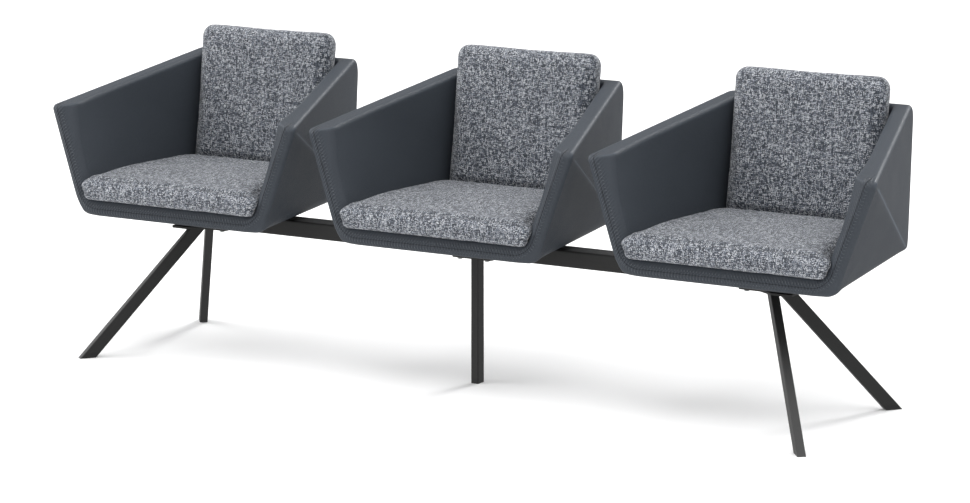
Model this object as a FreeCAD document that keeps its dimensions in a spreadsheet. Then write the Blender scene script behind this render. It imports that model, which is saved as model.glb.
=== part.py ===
import FreeCAD, Part
import math
import os
from collections import namedtuple

import Sketcher
from FreeCAD import Placement, Rotation, Vector

# Beam seating: three upholstered armchairs on one steel beam with five legs.
# Millimetres. +X runs along the beam, +Y to the backs of the chairs, +Z up.
# The origin is on the floor, in the middle of the centre leg's foot.

DRIVING_SIZES = {
    # beam, a rectangular steel tube along X
    "beam_width": 60,
    "beam_height": 40,
    "beam_wall": 3,
    "beam_corner": 5,
    "cap_thickness": 4,
    "cap_plug": 18,
    "cap_bolt_gap": 4,
    # legs, one rectangular tube section for all five
    "leg_depth": 30,
    "leg_width": 20,
    "leg_wall": 2,
    "leg_corner": 3,
    "meet_x": 766,
    "meet_drop": 7,
    "foot_x": 966,
    "foot_y": 250,
    "glide_height": 12,
    "glide_plug": 16,
    # plates between the legs and the beam
    "plate_thickness": 5,
    "plate_inboard": 66,
    "plate_outboard": 80,
    "plate_wide": 110,
    "centre_plate": 110,
    "plate_round": 8,
    "plate_bolt_edge": 18,
    "plate_bolt_gauge": 36,
    # brackets between the beam and the seats
    "bracket_length": 240,
    "bracket_depth": 200,
    "bracket_plate": 5,
    "bracket_wall": 4,
    "saddle_rise": 15,
    "saddle_drop": 25,
    "seat_bolt_edge": 18,
    "saddle_bolt_edge": 45,
    # bolts
    "plate_bolt": 8,
    "seat_bolt": 6,
    "bolt_length": 14,
    # chairs
    "seat_pitch": 750,
    "deck_height": 385,
    "chair_forward": 10,
    # outer corners of one chair's shell: half widths, depths, and heights above or below the deck
    "tip_half_width": 360,
    "tip_y": -185,
    "tip_rise": 223,
    "front_half_width": 268,
    "front_y": -197,
    "front_drop": 42,
    "rear_top_half_width": 222,
    "rear_top_y": 335,
    "rear_top_rise": 332,
    "rear_half_width": 237,
    "rear_y": 283,
    "rear_drop": 18,
    "tip_round": 16,
    "rear_top_round": 36,
    "rear_round": 18,
    "foot_round": 1,
    # upholstered walls
    "arm_thickness": 45,
    "back_thickness": 45,
    "rim_outer_bevel": 17,
    "rim_inner_bevel": 34,
    "lip_bevel": 16,
    "edge_bevel": 11,
    "bottom_bevel": 20,
    "rear_bevel": 22,
    # boards inside the upholstery
    "board_thickness": 12,
    "seat_board_thickness": 15,
    "board_margin": 22,
    "board_cover": 16,
    # cushions
    "seat_cushion": 62,
    "seat_overhang": 16,
    "seat_corner": 22,
    "seat_waist": 25,
    "seat_rear_corner": 26,
    "seat_top_round": 18,
    "seat_base_round": 8,
    "back_cushion": 60,
    "back_cushion_half_width": 186,
    "back_cushion_spread": 17,
    "back_cushion_rise": 53,
    "back_corner": 34,
    "back_edge_round": 18,
    # clearances
    "fit_gap": 0.3,
    "bolt_gap": 0.2,
    "soft_gap": 1,
    "bracket_gap": 3,
}

doc = FreeCAD.newDocument("BeamSeating")
sheet = doc.addObject("Spreadsheet::Sheet", "Sizes")
for row, (alias, value) in enumerate(DRIVING_SIZES.items(), start=1):
    sheet.set(f"A{row}", alias)
    sheet.set(f"B{row}", str(value))
    sheet.setAlias(f"B{row}", alias)
doc.recompute()


def size(alias):
    """The number that a cell of the sheet holds, in millimetres."""
    return float(sheet.get(alias))


def with_cells(expression):
    """The expression with each size in square brackets turned into its cell."""
    for alias in DRIVING_SIZES:
        expression = expression.replace(f"[{alias}]", f"Sizes.{alias}")
    return expression


def bind(target, prop, expression):
    """Tie a property to an expression that names sizes in square brackets."""
    target.setExpression(prop, with_cells(expression))


def value(expression):
    """The number that such an expression gives."""
    return float(sheet.evalExpression(with_cells(expression)))


SEATS = {"left": -1, "centre": 0, "right": 1}
nodes = []


def keep(part, label):
    """Name a finished sub-part, which also names its file."""
    part.Label = label
    nodes.append(part)
    return part


# Sketch helpers for the PartDesign bodies

def new_body(name):
    """An empty body."""
    return doc.addObject("PartDesign::Body", name)


def own_sketch(body, name, role, lift=None, shift=None):
    """A sketch on one of the body's origin planes, lifted off it and shifted along its X."""
    plane = next(f for f in body.Origin.OriginFeatures if f.Role == role)
    sketch = body.newObject("Sketcher::SketchObject", name)
    sketch.AttachmentSupport = [(plane, "")]
    sketch.MapMode = "FlatFace"
    if lift:
        bind(sketch, "AttachmentOffset.Base.z", lift)
    if shift:
        bind(sketch, "AttachmentOffset.Base.x", shift)
    return sketch


def dimension(sketch, kind, name, expression, *elements):
    """A named driving constraint, tied to the sheet."""
    index = sketch.addConstraint(Sketcher.Constraint(kind, *elements))
    sketch.renameConstraint(index, name)
    bind(sketch, f"Constraints.{name}", expression)


def rounded_rectangle(sketch, name, wide, high, corner):
    """A closed rectangle with round corners, centred on the sketch's origin."""
    w, d, r = 40.0, 30.0, 5.0
    corners = [(w, d), (-w, d), (-w, -d), (w, -d)]
    first = sketch.GeometryCount
    for quarter, (x, y) in enumerate(corners):
        centre = Vector(x - math.copysign(r, x), y - math.copysign(r, y), 0)
        start = quarter * math.pi / 2
        arc = Part.ArcOfCircle(Part.Circle(centre, Vector(0, 0, 1), r), start, start + math.pi / 2)
        sketch.addGeometry(arc)
    for quarter in range(4):
        one = sketch.Geometry[first + quarter].EndPoint
        two = sketch.Geometry[first + (quarter + 1) % 4].StartPoint
        sketch.addGeometry(Part.LineSegment(one, two))
    for quarter in range(4):
        line = first + 4 + quarter
        sketch.addConstraint(Sketcher.Constraint("Tangent", first + quarter, 2, line, 1))
        sketch.addConstraint(Sketcher.Constraint("Tangent", line, 2, first + (quarter + 1) % 4, 1))
        sketch.addConstraint(Sketcher.Constraint("Vertical" if quarter % 2 else "Horizontal", line))
        if quarter:
            sketch.addConstraint(Sketcher.Constraint("Equal", first, first + quarter))
    sketch.addConstraint(Sketcher.Constraint("Symmetric", first, 3, first + 2, 3, -1, 1))
    dimension(sketch, "Radius", f"{name}_corner", corner, first, r)
    dimension(sketch, "DistanceX", f"{name}_wide", f"({wide}) - 2 * ({corner})",
              first + 1, 3, first, 3, w)
    dimension(sketch, "DistanceY", f"{name}_high", f"({high}) - 2 * ({corner})",
              first + 2, 3, first + 1, 3, d)


def circles(sketch, name, centres, radius):
    """Equal circles at the given places, each place a pair of expressions."""
    for count, (across, up) in enumerate(centres):
        circle = sketch.addGeometry(Part.Circle(Vector(7 * count + 3, 5 * count + 2, 0), Vector(0, 0, 1), 2))
        dimension(sketch, "DistanceX", f"{name}_x{count}", across, -1, 1, circle, 3, 7 * count + 3)
        dimension(sketch, "DistanceY", f"{name}_y{count}", up, -1, 1, circle, 3, 5 * count + 2)
        dimension(sketch, "Radius", f"{name}_r{count}", radius, circle, 2)


def pad(body, name, sketch, length, midplane=False, reversed_side=False):
    """A pad of a sketch by a bound length."""
    feature = body.newObject("PartDesign::Pad", name)
    feature.Profile = sketch
    feature.Midplane = midplane
    feature.Reversed = reversed_side
    bind(feature, "Length", length)
    sketch.Visibility = False
    return feature


def bore_through(body, name, sketch, reversed_side=False, length=None):
    """A pocket of a sketch, to a bound depth or through everything on one side."""
    feature = body.newObject("PartDesign::Pocket", name)
    feature.Profile = sketch
    feature.Reversed = reversed_side
    if length:
        bind(feature, "Length", length)
    else:
        feature.Type = 1
    sketch.Visibility = False
    return feature


def far_face(shape, direction):
    """The name of the flat face that lies furthest along a direction."""
    reach = [face.CenterOfMass.dot(direction) for face in shape.Faces]
    return f"Face{reach.index(max(reach)) + 1}"


def upright_edges(shape):
    """The names of the straight edges along Z."""
    return [f"Edge{i + 1}" for i, edge in enumerate(shape.Edges)
            if isinstance(edge.Curve, Part.Line) and abs(edge.tangentAt(edge.FirstParameter).z) > 0.99]


def round_edges(body, name, pick, radius):
    """A fillet on the edges or faces of the body's last feature that a function picks."""
    doc.recompute()
    base = body.Tip
    feature = body.newObject("PartDesign::Fillet", name)
    feature.Base = (base, pick(base.Shape))
    bind(feature, "Radius", radius)


# Beam, with holes for the bolts of the plates and saddles

PLATE_BOLT_ROWS = ("-[plate_bolt_gauge] / 2", "[plate_bolt_gauge] / 2")
END_PLATE_COLUMNS = (
    "[meet_x] - [plate_inboard] + [plate_bolt_edge]",
    "[meet_x] + [plate_outboard] - [plate_bolt_edge]",
)
CENTRE_PLATE_COLUMN = "[centre_plate] / 2 - [plate_bolt_edge]"
SADDLE_COLUMN = "([bracket_length] / 2 - [saddle_bolt_edge])"
BEAM_HALF = f"([seat_pitch] + {SADDLE_COLUMN} + [seat_bolt] / 2 + [cap_bolt_gap] + [cap_plug])"
PLATE_HOLE = "[plate_bolt] / 2 + [bolt_gap]"
SEAT_HOLE = "[seat_bolt] / 2 + [bolt_gap]"
UNDER_BRACKET = "([deck_height] - [seat_board_thickness] - [bracket_plate])"
BEAM_TOP = f"({UNDER_BRACKET} - [saddle_rise])"
SADDLE_HEIGHT = f"{BEAM_TOP} - [saddle_drop] / 2"
LEG_TOP = f"({BEAM_TOP} - [beam_height] - [plate_thickness])"
MEET_HEIGHT = f"({BEAM_TOP} - [meet_drop])"


def signed(sign, expression):
    """The expression with a sign in front."""
    return f"{sign} * ({expression})"


def plate_holes():
    """Places of all plate bolts along and across the beam."""
    columns = [signed(side, column) for side in (-1, 1) for column in END_PLATE_COLUMNS]
    columns += [signed(side, CENTRE_PLATE_COLUMN) for side in (-1, 1)]
    return [(column, row) for column in columns for row in PLATE_BOLT_ROWS]


def saddle_columns():
    """Places of the saddle bolts along the beam."""
    return [f"{side} * [seat_pitch] + {signed(hand, SADDLE_COLUMN)}"
            for side in SEATS.values() for hand in (-1, 1)]


def make_beam():
    """The hollow beam."""
    body = new_body("Beam")
    section = own_sketch(body, "BeamSection", "YZ_Plane")
    rounded_rectangle(section, "outer", "[beam_width]", "[beam_height]", "[beam_corner]")
    rounded_rectangle(section, "inner", "[beam_width] - 2 * [beam_wall]",
                      "[beam_height] - 2 * [beam_wall]", "[beam_corner] - [beam_wall]")
    pad(body, "BeamTube", section, f"2 * {BEAM_HALF}", midplane=True)
    below = own_sketch(body, "PlateHoles", "XY_Plane")
    circles(below, "plate", plate_holes(), PLATE_HOLE)
    bore_through(body, "PlateBores", below)
    beside = own_sketch(body, "SaddleHoles", "XZ_Plane")
    places = [(column, "[beam_height] / 2 - [saddle_drop] / 2") for column in saddle_columns()]
    circles(beside, "saddle", places, SEAT_HOLE)
    through = bore_through(body, "SaddleBores", beside)
    through.Midplane = True
    bind(body, "Placement.Base.z", f"{BEAM_TOP} - [beam_height] / 2")
    return keep(body, "beam")


def make_end_cap(side, label):
    """A plastic cap: a cover over the tube's end and a plug inside it."""
    body = new_body("Cap_" + label)
    outline = own_sketch(body, "Cover_" + label, "YZ_Plane")
    rounded_rectangle(outline, "cover", "[beam_width]", "[beam_height]", "[beam_corner]")
    pad(body, "CapCover_" + label, outline, "[cap_thickness]")
    inside = own_sketch(body, "Plug_" + label, "YZ_Plane")
    inner = "2 * ([beam_wall] + [fit_gap])"
    rounded_rectangle(inside, "plug", f"[beam_width] - {inner}", f"[beam_height] - {inner}",
                      "[beam_corner] - [beam_wall]")
    pad(body, "CapPlug_" + label, inside, "[cap_plug]", reversed_side=True)
    round_edges(body, "CapRim_" + label, lambda shape: [far_face(shape, Vector(1, 0, 0))],
                "[cap_thickness] / 2")
    body.Placement = Placement(Vector(), Rotation(Vector(0, 0, 1), 0 if side > 0 else 180))
    bind(body, "Placement.Base.x", signed(side, BEAM_HALF))
    bind(body, "Placement.Base.z", f"{BEAM_TOP} - [beam_height] / 2")
    return keep(body, label)


# Legs: each stands on its glide and leans to the beam in one vertical plane

END_RUN = "sqrt(([foot_x] - [meet_x]) ^ 2 + [foot_y] ^ 2)"
LEGS = {
    "left_front": (-1, -1),
    "left_rear": (-1, 1),
    "centre": (0, 0),
    "right_front": (1, -1),
    "right_rear": (1, 1),
}


def leg_slope(side):
    """How far a leg leans inward for each millimetre of height."""
    return f"({END_RUN} / {MEET_HEIGHT})" if side else "0"


def leg_outline(sketch, side, name, inset):
    """The leg's level section: its long side lies in the plane of its lean."""
    stretch = f"sqrt(1 + {leg_slope(side)} ^ 2)"
    rounded_rectangle(sketch, name, f"([leg_depth] - 2 * ({inset})) * {stretch}",
                      f"[leg_width] - 2 * ({inset})", f"[leg_corner] - min({inset}; [leg_corner] - 1)")


def lean(feature, side):
    """Turn a pad from straight up to the leg's own direction."""
    feature.UseCustomVector = True
    feature.AlongSketchNormal = True
    feature.Direction = Vector(0, 0, 1)
    bind(feature, "Direction.x", f"-{leg_slope(side)}")


def stand(body, side, depth):
    """Put a leg's body on its foot, turned to its lean."""
    if not side:
        body.Placement = Placement(Vector(), Rotation(Vector(0, 0, 1), 90))
        return
    body.Placement = Placement(Vector(), Rotation(Vector(0, 0, 1), 30))
    bind(body, "Placement.Rotation.Angle", f"atan2({depth} * [foot_y]; {side} * ([foot_x] - [meet_x]))")
    bind(body, "Placement.Base.x", f"{side} * [foot_x]")
    bind(body, "Placement.Base.y", f"{depth} * [foot_y]")


def make_leg(label, side, depth):
    """A leg tube, cut level at its foot and under its plate."""
    body = new_body("Leg_" + label)
    section = own_sketch(body, "LegSection_" + label, "XY_Plane", "[glide_height]",
                         f"-{leg_slope(side)} * [glide_height]")
    leg_outline(section, side, "outer", "0")
    leg_outline(section, side, "inner", "[leg_wall]")
    tube = pad(body, "LegTube_" + label, section, f"{LEG_TOP} - [glide_height]")
    lean(tube, side)
    stand(body, side, depth)
    return keep(body, label + "_leg")


def make_glide(label, side, depth):
    """A plastic glide: a foot of the tube's outline and a plug up inside the tube."""
    body = new_body("Glide_" + label)
    sole = own_sketch(body, "Sole_" + label, "XY_Plane")
    leg_outline(sole, side, "sole", "0")
    lean(pad(body, "GlideSole_" + label, sole, "[glide_height]"), side)
    inside = own_sketch(body, "Plug_" + label, "XY_Plane", "[glide_height]",
                        f"-{leg_slope(side)} * [glide_height]")
    leg_outline(inside, side, "plug", "[leg_wall] + [fit_gap]")
    lean(pad(body, "GlidePlug_" + label, inside, "[glide_plug]"), side)
    stand(body, side, depth)
    return keep(body, label + "_glide")


# Plates welded on the legs and bolted up under the beam

def make_end_plate(side, label):
    """A plate as wide as the beam inboard, and wider where the two legs meet it."""
    body = new_body("Plate_" + label)
    sketch = own_sketch(body, "PlateOutline_" + label, "XY_Plane")
    x = [signed(side, text) for text in
         ("[meet_x] - [plate_inboard]", "[meet_x] - [leg_depth] / 3", "[meet_x] + [leg_depth]",
          "[meet_x] + [plate_outboard]")]
    y = ("[beam_width] / 2", "[beam_width] / 2", "[plate_wide] / 2", "[plate_wide] / 2")
    corners = [(x[i], y[i], 1) for i in range(4)] + [(x[i], y[i], -1) for i in (3, 2, 1, 0)]
    guess = [(side * (700 + 40 * i), 30 + 10 * (i > 1)) for i in range(4)]
    guess += [(px, -py) for px, py in reversed(guess)]
    lines = []
    for i, (px, py) in enumerate(guess):
        qx, qy = guess[(i + 1) % 8]
        lines.append(sketch.addGeometry(Part.LineSegment(Vector(px, py, 0), Vector(qx, qy, 0))))
    for i in range(8):
        sketch.addConstraint(Sketcher.Constraint("Coincident", lines[i], 2, lines[(i + 1) % 8], 1))
        across, up, hand = corners[i]
        dimension(sketch, "DistanceX", f"corner_x{i}", across, -1, 1, lines[i], 1, guess[i][0])
        dimension(sketch, "DistanceY", f"corner_y{i}", signed(hand, up), -1, 1, lines[i], 1, guess[i][1])
    pad(body, "PlateSheet_" + label, sketch, "[plate_thickness]")
    round_edges(body, "PlateCorners_" + label, upright_edges, "[plate_round]")
    holes = own_sketch(body, "PlateHoles_" + label, "XY_Plane")
    places = [(signed(side, column), row) for column in END_PLATE_COLUMNS for row in PLATE_BOLT_ROWS]
    circles(holes, "bolt", places, PLATE_HOLE)
    bore_through(body, "PlateBores_" + label, holes, reversed_side=True)
    bind(body, "Placement.Base.z", LEG_TOP)
    return keep(body, label)


def make_centre_plate(label):
    """The small plate on the centre leg."""
    body = new_body("Plate_" + label)
    sketch = own_sketch(body, "PlateOutline_" + label, "XY_Plane")
    rounded_rectangle(sketch, "plate", "[centre_plate]", "[beam_width]", "[plate_round]")
    pad(body, "PlateSheet_" + label, sketch, "[plate_thickness]")
    holes = own_sketch(body, "PlateHoles_" + label, "XY_Plane")
    places = [(signed(side, CENTRE_PLATE_COLUMN), row) for side in (-1, 1) for row in PLATE_BOLT_ROWS]
    circles(holes, "bolt", places, PLATE_HOLE)
    bore_through(body, "PlateBores_" + label, holes, reversed_side=True)
    bind(body, "Placement.Base.z", LEG_TOP)
    return keep(body, label)


# Brackets: a plate under each seat on a saddle that grips the beam

def bound_box(name, lengths, corner):
    """A box whose sides and lowest corner are expressions."""
    box = doc.addObject("Part::Box", name)
    for prop, text in zip(("Length", "Width", "Height"), lengths):
        bind(box, prop, text)
    for axis, text in zip("xyz", corner):
        bind(box, f"Placement.Base.{axis}", text)
    return box


def bound_hole(name, radius, length, place, direction):
    """A cylinder that drills a hole along a direction."""
    drill = doc.addObject("Part::Cylinder", name)
    bind(drill, "Radius", radius)
    bind(drill, "Height", length)
    drill.Placement = Placement(Vector(), Rotation(Vector(0, 0, 1), direction))
    for axis, text in zip("xyz", place):
        bind(drill, f"Placement.Base.{axis}", text)
    return drill


def seat_bolt_places(side):
    """Places of the four bolts that hold one seat on its bracket."""
    across = "([bracket_length] / 2 - [seat_bolt_edge])"
    deep = "([bracket_depth] / 2 - [seat_bolt_edge])"
    return [(f"{side} * [seat_pitch] + {signed(i, across)}", signed(j, deep))
            for i in (-1, 1) for j in (-1, 1)]


def make_bracket(side, label):
    """A welded bracket: top plate, two walls beside the beam and a web on its top."""
    left = f"{side} * [seat_pitch] - [bracket_length] / 2"
    inner = "([beam_width] / 2 + [fit_gap])"
    foot = f"{BEAM_TOP} - [saddle_drop]"
    wall_height = f"{UNDER_BRACKET} - ({foot})"
    plate = bound_box("Top_" + label, ("[bracket_length]", "[bracket_depth]", "[bracket_plate]"),
                      (left, "-[bracket_depth] / 2", UNDER_BRACKET))
    front = bound_box("Front_" + label, ("[bracket_length]", "[bracket_wall]", wall_height),
                      (left, f"-{inner} - [bracket_wall]", foot))
    rear = bound_box("Rear_" + label, ("[bracket_length]", "[bracket_wall]", wall_height),
                     (left, inner, foot))
    web = bound_box("Web_" + label, ("[bracket_length]", f"2 * {inner}", "[bracket_wall]"),
                    (left, f"-{inner}", BEAM_TOP))
    frame = doc.addObject("Part::MultiFuse", "Frame_" + label)
    frame.Shapes = [plate, front, rear, web]
    drills = [bound_hole(f"SeatDrill{i}_{label}", SEAT_HOLE, "3 * [bracket_plate]",
                         (px, py, f"{UNDER_BRACKET} - [bracket_plate]"), Vector(0, 0, 1))
              for i, (px, py) in enumerate(seat_bolt_places(side))]
    for hand in (-1, 1):
        column = f"{side} * [seat_pitch] + {signed(hand, SADDLE_COLUMN)}"
        drills.append(bound_hole(f"SaddleDrill{hand + 1}_{label}", SEAT_HOLE, "2 * [beam_width]",
                                 (column, "-[beam_width]", SADDLE_HEIGHT), Vector(0, 1, 0)))
    holes = doc.addObject("Part::MultiFuse", "Holes_" + label)
    holes.Shapes = drills
    bracket = doc.addObject("Part::Cut", "Bracket_" + label)
    bracket.Base = frame
    bracket.Tool = holes
    return keep(bracket, label)


# Bolts: one body for each kind, repeated as groups of separate solids

HEAD_WIDTH = 0.8
HEAD_HEIGHT = 0.6
SOCKET_WIDTH = 0.4
SOCKET_DEPTH = 0.35


def make_bolt(name, diameter):
    """A round-headed bolt with its seat at the origin, its shank down and its head up."""
    body = new_body(name)
    head = own_sketch(body, name + "Head", "XY_Plane")
    circles(head, "head", [("0", "0")], f"{HEAD_WIDTH} * {diameter}")
    pad(body, name + "HeadPad", head, f"{HEAD_HEIGHT} * {diameter}")
    round_edges(body, name + "Crown", lambda shape: [far_face(shape, Vector(0, 0, 1))],
                f"{HEAD_HEIGHT} * {diameter} / 2")
    socket = own_sketch(body, name + "Socket", "XY_Plane", f"{HEAD_HEIGHT} * {diameter}")
    across = 3.0
    points = [Vector(across * math.cos(i * math.pi / 3), across * math.sin(i * math.pi / 3), 0)
              for i in range(6)]
    sides = [socket.addGeometry(Part.LineSegment(points[i], points[(i + 1) % 6])) for i in range(6)]
    ring = socket.addGeometry(Part.Circle(Vector(), Vector(0, 0, 1), across))
    socket.toggleConstruction(ring)
    socket.addConstraint(Sketcher.Constraint("Coincident", ring, 3, -1, 1))
    for i in range(6):
        socket.addConstraint(Sketcher.Constraint("Coincident", sides[i], 2, sides[(i + 1) % 6], 1))
        socket.addConstraint(Sketcher.Constraint("PointOnObject", sides[i], 1, ring))
        if i:
            socket.addConstraint(Sketcher.Constraint("Equal", sides[0], sides[i]))
    socket.addConstraint(Sketcher.Constraint("PointOnObject", sides[0], 1, -1))
    dimension(socket, "Radius", "across", f"{SOCKET_WIDTH} * {diameter}", ring, across)
    bore_through(body, name + "SocketPocket", socket, length=f"{SOCKET_DEPTH} * {diameter}")
    shank = own_sketch(body, name + "Shank", "XY_Plane")
    circles(shank, "shank", [("0", "0")], f"{diameter} / 2")
    pad(body, name + "ShankPad", shank, "[bolt_length]", reversed_side=True)
    return body


def bolt_group(bolt, label, seats):
    """Copies of one bolt, each at a point of its head's seat with its head along a direction."""
    copies = []
    for point, direction in seats:
        copy = bolt.Shape.copy()
        copy.Placement = Placement(Vector(*point), Rotation(Vector(0, 0, 1), Vector(*direction)))
        copies.append(copy)
    group = doc.addObject("Part::Feature", label)
    group.Shape = Part.makeCompound(copies)
    return keep(group, label)


def make_bolts():
    """The three groups of bolts."""
    plate_bolt = make_bolt("PlateBolt", "[plate_bolt]")
    seat_bolt = make_bolt("SeatBolt", "[seat_bolt]")
    doc.recompute()
    bolt_group(plate_bolt, "leg_plate_bolts",
               [((value(x), value(y), value(LEG_TOP)), (0, 0, -1)) for x, y in plate_holes()])
    bolt_group(seat_bolt, "seat_bracket_bolts",
               [((value(x), value(y), value(UNDER_BRACKET)), (0, 0, -1))
                for side in SEATS.values() for x, y in seat_bolt_places(side)])
    out = value("[beam_width] / 2 + [fit_gap] + [bracket_wall]")
    bolt_group(seat_bolt, "saddle_bolts",
               [((value(x), hand * out, value(SADDLE_HEIGHT)), (0, hand, 0))
                for x in saddle_columns() for hand in (-1, 1)])


# Shell of a chair: padded walls cut from one faceted block by flat planes

Cut = namedtuple("Cut", "point outward")


def plane_of(a, b, c, inside):
    """The plane through three points, with its outward side away from a fourth."""
    normal = (b - a).cross(c - a).normalize()
    if normal.dot(inside - a) > 0:
        normal = -normal
    return Cut(a, normal)


def moved(cut, distance):
    """The plane shifted along its outward normal."""
    return Cut(cut.point + cut.outward * distance, cut.outward)


def turned(cut):
    """The same plane with its other side cut away."""
    return Cut(cut.point, -cut.outward)


def level(height, upward=1):
    """A level plane that cuts away what is above it, or below it."""
    return Cut(Vector(0, 0, height), Vector(0, 0, upward))


def trimmed(solid, cuts):
    """The solid without what lies beyond each plane."""
    reach = 3 * size("seat_pitch")
    for cut in cuts:
        block = Part.makeBox(reach, reach, reach, Vector(-reach / 2, -reach / 2, 0))
        block.Placement = Placement(cut.point, Rotation(Vector(0, 0, 1), cut.outward))
        solid = solid.cut(block)
    return solid


def edge_bevel(start, end, toward_a, reach_a, toward_b, reach_b):
    """A plane that cuts a sharp edge back by one reach along each of its two faces."""
    along = (end - start).normalize()
    a = start + (toward_a - along * toward_a.dot(along)).normalize() * reach_a
    b = start + (toward_b - along * toward_b.dot(along)).normalize() * reach_b
    normal = along.cross(b - a).normalize()
    if normal.dot(start - a) < 0:
        normal = -normal
    return Cut(a, normal)


def mirrored(cut):
    """The plane on the other side of the chair."""
    return Cut(Vector(-cut.point.x, cut.point.y, cut.point.z),
               Vector(-cut.outward.x, cut.outward.y, cut.outward.z))


def meeting(*cuts):
    """The point that three planes share."""
    a, b, c = (cut.outward for cut in cuts)
    da, db, dc = (cut.outward.dot(cut.point) for cut in cuts)
    return (b.cross(c) * da + c.cross(a) * db + a.cross(b) * dc) / a.dot(b.cross(c))


def rounded_wire(corners, radii):
    """A closed flat wire through corner points, with a tangent arc at each corner."""
    arcs = []
    for i, corner in enumerate(corners):
        back = (corners[i - 1] - corner).normalize()
        ahead = (corners[(i + 1) % len(corners)] - corner).normalize()
        half_angle = back.getAngle(ahead) / 2
        run = radii[i] / math.tan(half_angle)
        middle = (back + ahead).normalize() * (radii[i] / math.sin(half_angle) - radii[i])
        arcs.append((corner + back * run, corner + middle, corner + ahead * run))
    edges = []
    for i, (first, mid, last) in enumerate(arcs):
        edges.append(Part.Arc(first, mid, last).toShape())
        edges.append(Part.LineSegment(last, arcs[(i + 1) % len(arcs)][0]).toShape())
    return Part.Wire(edges)


class Shell:
    """The planes of one chair's shell, with the middle of the beam as its origin.

    Names without a side are of the right arm, and the left arm mirrors them.
    """

    def __init__(self):
        back = -size("chair_forward")
        deck = size("deck_height")
        across = Vector(1, 0, 0)
        self.tip = Vector(size("tip_half_width"), size("tip_y") + back, deck + size("tip_rise"))
        self.front = Vector(size("front_half_width"), size("front_y") + back, deck - size("front_drop"))
        self.rear_top = Vector(size("rear_top_half_width"), size("rear_top_y") + back,
                               deck + size("rear_top_rise"))
        self.rear = Vector(size("rear_half_width"), size("rear_y") + back, deck - size("rear_drop"))
        core = (self.tip + self.front + self.rear_top + self.rear) / 4
        core.x = 0
        self.middle = Cut(Vector(), across)
        self.face = plane_of(self.front, self.tip, self.front + across, core)
        self.top = plane_of(self.tip, self.rear_top, self.tip + across, core)
        self.rear_face = plane_of(self.rear_top, self.rear, self.rear + across, core)
        self.base = plane_of(self.front, self.rear, self.front + across, core)
        self.side_front = plane_of(self.tip, self.front, self.rear, core)
        self.side_rear = plane_of(self.tip, self.rear, self.rear_top, core)
        self.inner_front = moved(self.side_front, -size("arm_thickness"))
        self.inner_rear = moved(self.side_rear, -size("arm_thickness"))
        self.inner_back = moved(self.rear_face, -size("back_thickness"))
        crease = self.rear - self.tip
        inward = self.side_front.outward + self.side_rear.outward
        self.split = plane_of(self.tip, self.tip + crease, self.tip - inward, self.rear_top)
        self.deck = level(deck)
        self.above_deck = turned(self.deck)

    def block(self, inset=0.0):
        """The chair's outline from the side as a prism, inset all round."""
        lines = [moved(side, -inset) for side in (self.face, self.top, self.rear_face, self.base)]
        half_width = self.tip.x + size("arm_thickness")
        end = Cut(Vector(-half_width, 0, 0), Vector(-1, 0, 0))
        corners = [meeting(end, lines[i - 1], lines[i]) for i in range(4)]
        radii = (size("foot_round"), size("tip_round"), size("rear_top_round"), size("rear_round"))
        radii = [max(radius - inset, size("foot_round")) for radius in radii]
        return Part.Face(rounded_wire(corners, radii)).extrude(Vector(2 * half_width, 0, 0))

    def outer_bevels(self):
        """The blunt outer edges of the right-hand side."""
        inward = Vector(-1, 0, 0)
        edge = size("edge_bevel")
        rim = edge_bevel(self.front, self.tip, inward, size("arm_thickness") / 2,
                         -self.face.outward, size("rim_outer_bevel"))
        top = edge_bevel(self.tip, self.rear_top, inward, edge, Vector(0, 0, -1), edge)
        base = edge_bevel(self.front, self.rear, inward, size("bottom_bevel"),
                          self.tip - self.front, size("bottom_bevel"))
        corner = edge_bevel(self.rear, self.rear_top, inward, size("rear_bevel"),
                            self.tip - self.rear, size("rear_bevel"))
        return [rim, top, base, corner]

    def outer(self, inset=0.0):
        """The block with its faceted sides, inset all round."""
        half = [moved(cut, -inset) for cut in (self.side_front, self.side_rear)]
        if not inset:
            half += self.outer_bevels()
        return trimmed(self.block(inset), half + [mirrored(cut) for cut in half])

    def lip_bevels(self):
        """The two slopes of the seat's front lip, which meet in its seam."""
        across = Vector(1, 0, 0)
        climb = across.cross(self.face.outward).normalize()
        climb = climb if climb.z > 0 else -climb
        lip = (size("deck_height") - self.front.z) / climb.z
        foot = Vector(0, self.front.y, self.front.z)
        head = foot + climb * lip
        backward = -self.face.outward
        lower = edge_bevel(foot, foot + across, climb, lip / 2, backward, size("rim_outer_bevel"))
        upper = edge_bevel(head, head + across, -climb, lip / 2, backward, size("lip_bevel"))
        return [lower, upper]

    def rim_bevel(self):
        """The inner slope of the right arm's front rim, from its seam to the inner face."""
        tip = meeting(self.face, self.top, self.inner_front)
        foot = meeting(self.face, self.base, self.inner_front)
        return edge_bevel(foot, tip, Vector(1, 0, 0), size("arm_thickness") / 2,
                          -self.face.outward, size("rim_inner_bevel"))

    def arm_top_bevel(self):
        """The blunt inner edge along the top of the right arm."""
        tip = meeting(self.face, self.top, self.inner_rear)
        end = meeting(self.rear_face, self.top, self.inner_rear)
        return edge_bevel(tip, end, Vector(1, 0, 0), size("edge_bevel"), Vector(0, 0, -1), size("edge_bevel"))

    def arm_board(self):
        """The bent board inside the right arm."""
        cover = size("board_cover")
        depth = cover + size("board_thickness")
        sides = (self.side_front, self.side_rear)
        limits = [moved(side, -cover) for side in sides]
        limits += [self.above_deck, self.inner_back, moved(self.face, -size("rim_inner_bevel"))]
        limits += [turned(self.middle)]
        inside = trimmed(self.block(), [moved(side, -depth) for side in sides])
        return trimmed(self.block(size("board_margin")), limits).cut(inside)

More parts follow.
